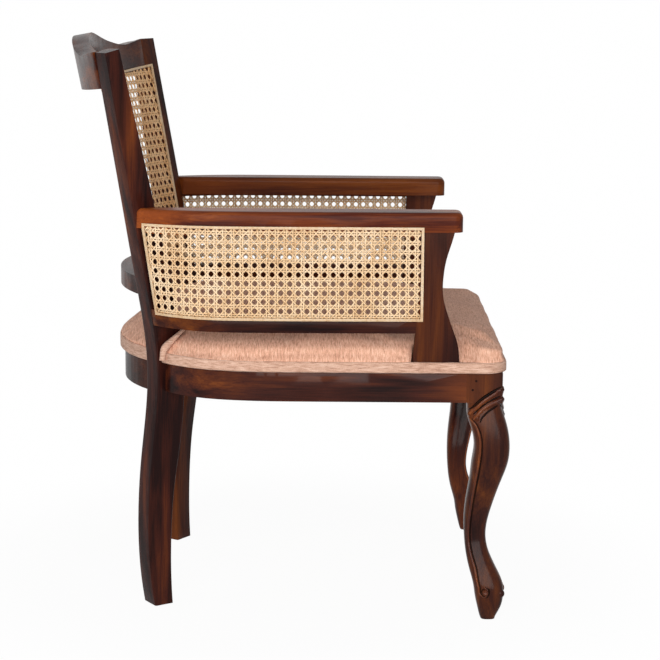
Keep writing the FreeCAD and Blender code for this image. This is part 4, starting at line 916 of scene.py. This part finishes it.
def wear(item, material, replaced):
    """Give a fabric piece its cover and smooth shading, hang it under the root body and hide the solid it stands
    for.
    """
    item.data.materials.clear()
    item.data.materials.append(material)
    item.data.polygons.foreach_set("use_smooth", [True] * len(item.data.polygons))
    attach(item, "root")
    if replaced:
        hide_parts(replaced)


def notch_strip(name, sign):
    """Flat strip of cover sewn over the cushion's edge beside a rear leg."""
    corners = []
    for out, rear, front in NOTCH_ROWS:
        hits = [Vector((-out * MM * sign, y * MM, z * MM)) for y, z in traced((front, rear), out)]
        middle = (hits[0] + hits[1]) / 2 - Vector((0.8 * MM * sign, 0, 0))
        inner = Vector((sign * 12 * MM, 0, 0))
        corners += [hits[0], middle, hits[1], hits[1] + inner, hits[0] + inner]
    faces, count = [], 5
    for row in range(len(NOTCH_ROWS) - 1):
        for k in range(count):
            a, b = row * count + k, row * count + (k + 1) % count
            faces.append((a, b, b + count, a + count))
    faces += [tuple(range(count)), tuple(reversed(range(len(corners) - count, len(corners))))]
    item = mesh_object(name, corners, faces)
    one_subdivision(item)
    return item


def make_seat():
    """Cushion, the two bands round its foot and the strips beside the rear legs."""
    cover = chenille("seat_chenille", (105, 620, 105), COVER_TONES)
    side_band = chenille("band_chenille", (70, 70, 620), BAND_TONES)
    neighbours = solid_tree([
        "rear_leg_right", "rear_leg_left", "arm_support_right", "arm_support_left",
        "arm_rail_right", "arm_rail_left", "lower_back_rail",
    ])
    cushion = soft_copy("seat_cushion", "seat_upholstery", 5 * MM, 7)
    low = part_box("seat_cushion")[0].z
    fill_out(cushion, low, neighbours)
    swell(cushion, low, neighbours)
    one_subdivision(cushion)

    def plump(place, facing):
        dimple = noise.noise(place * 14) * 1.6 + noise.noise(place * 33) * 0.7
        return dimple * MM * min(1.0, (place.z - low) / (20 * MM))

    press_out(cushion, plump)
    wear(cushion, cover, "seat_cushion")

    for node, name in (("seat_front_band", "front_band_cloth"), ("seat_rear_band", "rear_band_cloth")):
        band = soft_copy(node, name, 1.6 * MM, 3)
        if node == "seat_rear_band":
            below, above = (corner.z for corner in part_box(node))
            rise = (REAR_BAND_HEIGHTS[1] - REAR_BAND_HEIGHTS[0]) / (above - below)
            for vertex in band.data.vertices:
                vertex.co.z = REAR_BAND_HEIGHTS[0] + (vertex.co.z - below) * rise
        press_out(band, lambda place, facing: (0.6 + 0.35 * noise.noise(place * 60)) * MM)
        wear(band, side_band, node)
    for hand, sign in (("right", 1), ("left", -1)):
        strip = notch_strip("notch_strip_" + hand, sign)
        wear(strip, side_band, None)


def dress_inside():
    """Seat board, dowels and screws."""
    clothe("seat_board", bare_wood("board_plywood", srgb(200, 165, 120), srgb(150, 112, 74), (40, 40, 900)))
    dowel = bare_wood("dowel_beech", srgb(206, 164, 116), srgb(170, 124, 80), (700, 90, 700))
    for name in ("seat_frame_dowels", "back_frame_dowels"):
        clothe(name, dowel)
    clothe("arm_joint_dowels", NODES["armrest_right"].data.materials[0])
    clothe("seat_board_screws", zinc_plate("screw_zinc"))


# Studio
def make_camera():
    """Camera of the photograph."""
    ahead, turned_right, turned_up = camera_axes()
    data = bpy.data.cameras.new("photo_camera")
    data.sensor_width = SENSOR_WIDTH
    data.lens = FOCAL_PIXELS / PICTURE_PIXELS * SENSOR_WIDTH
    data.clip_end = 1000
    camera = bpy.data.objects.new("photo_camera", data)
    turn = Matrix((turned_right, turned_up, -ahead)).transposed()
    camera.matrix_world = Matrix.Translation(CAMERA_PLACE) @ turn.to_4x4()
    bpy.context.scene.collection.objects.link(camera)
    bpy.context.scene.camera = camera


def seen_or_mirrored(tree):
    """1 for rays that show the background, straight or by reflection."""
    path = tree.nodes.new("ShaderNodeLightPath")
    total = path.outputs["Is Camera Ray"]
    for kind in ("Is Glossy Ray", "Is Transmission Ray"):
        either = tree.nodes.new("ShaderNodeMath")
        either.operation = "MAXIMUM"
        tree.links.new(total, either.inputs[0])
        tree.links.new(path.outputs[kind], either.inputs[1])
        total = either.outputs[0]
    return total


def make_floor():
    """White floor that keeps a faint shadow."""
    half = 150.0
    corners = [(-half, -half, 0), (half, -half, 0), (half, half, 0), (-half, half, 0)]
    floor = mesh_object("floor", corners, [(0, 1, 2, 3)])
    material = bpy.data.materials.new("white_floor")
    material.use_nodes = True
    tree = material.node_tree
    surface = tree.nodes["Principled BSDF"]
    surface.inputs["Base Color"].default_value = (0.95, 0.95, 0.95, 1)
    surface.inputs["Roughness"].default_value = 0.9
    surface.inputs["Specular IOR Level"].default_value = 0.1
    glow = tree.nodes.new("ShaderNodeEmission")
    glow.inputs["Color"].default_value = (1, 1, 1, 1)
    place = tree.nodes.new("ShaderNodeTexCoord")
    reach = tree.nodes.new("ShaderNodeVectorMath")
    reach.operation = "LENGTH"
    tree.links.new(place.outputs["Object"], reach.inputs[0])
    fade = tree.nodes.new("ShaderNodeMapRange")
    fade.interpolation_type = "SMOOTHSTEP"
    for index, value in enumerate((0.35, 0.8, 0.955, 0.998)):
        fade.inputs[index + 1].default_value = value
    tree.links.new(reach.outputs["Value"], fade.inputs[0])
    share = tree.nodes.new("ShaderNodeMath")
    share.operation = "MULTIPLY"
    tree.links.new(fade.outputs[0], share.inputs[1])
    tree.links.new(seen_or_mirrored(tree), share.inputs[0])
    mix = tree.nodes.new("ShaderNodeMixShader")
    tree.links.new(share.outputs[0], mix.inputs[0])
    tree.links.new(surface.outputs[0], mix.inputs[1])
    tree.links.new(glow.outputs[0], mix.inputs[2])
    tree.links.new(mix.outputs[0], tree.nodes["Material Output"].inputs["Surface"])
    floor.data.materials.append(material)


def make_world():
    """Even soft light; the background shows white."""
    world = bpy.data.worlds.new("studio")
    bpy.context.scene.world = world
    world.use_nodes = True
    tree = world.node_tree
    dim = tree.nodes["Background"]
    dim.inputs["Color"].default_value = (0.93, 0.96, 1.0, 1)
    dim.inputs["Strength"].default_value = 0.18
    white = tree.nodes.new("ShaderNodeBackground")
    white.inputs["Color"].default_value = (1, 1, 1, 1)
    mix = tree.nodes.new("ShaderNodeMixShader")
    tree.links.new(seen_or_mirrored(tree), mix.inputs[0])
    tree.links.new(dim.outputs[0], mix.inputs[1])
    tree.links.new(white.outputs[0], mix.inputs[2])
    tree.links.new(mix.outputs[0], tree.nodes["World Output"].inputs["Surface"])


def softbox(name, place, aim, width, height, power, colour=(1, 1, 1)):
    """Rectangular lamp turned to a point."""
    data = bpy.data.lights.new(name, "AREA")
    data.shape = "RECTANGLE"
    data.size = width
    data.size_y = height
    data.energy = power
    data.color = colour
    lamp = bpy.data.objects.new(name, data)
    lamp.location = place
    lamp.rotation_euler = (Vector(aim) - Vector(place)).to_track_quat("-Z", "Y").to_euler()
    bpy.context.scene.collection.objects.link(lamp)


def make_lights():
    """A wide lamp on the camera's side, one overhead and a cool one from behind."""
    chair = (0, 0, 0.5)
    softbox("key", (-3.6, 0.1, 1.4), chair, 3.4, 2.4, 126, (1.0, 0.985, 0.965))
    softbox("overhead", (-0.4, 0.3, 3.0), chair, 2.2, 2.6, 3, (0.97, 0.985, 1.0))
    softbox("rear", (-0.6, 3.6, 1.6), chair, 2.4, 1.6, 16, (0.93, 0.96, 1.0))


make_camera()
make_floor()
make_world()
make_lights()
dress_wood()
carve_legs()
dress_inside()
make_cane()
make_seat()

bpy.context.scene.view_settings.view_transform = "Standard"
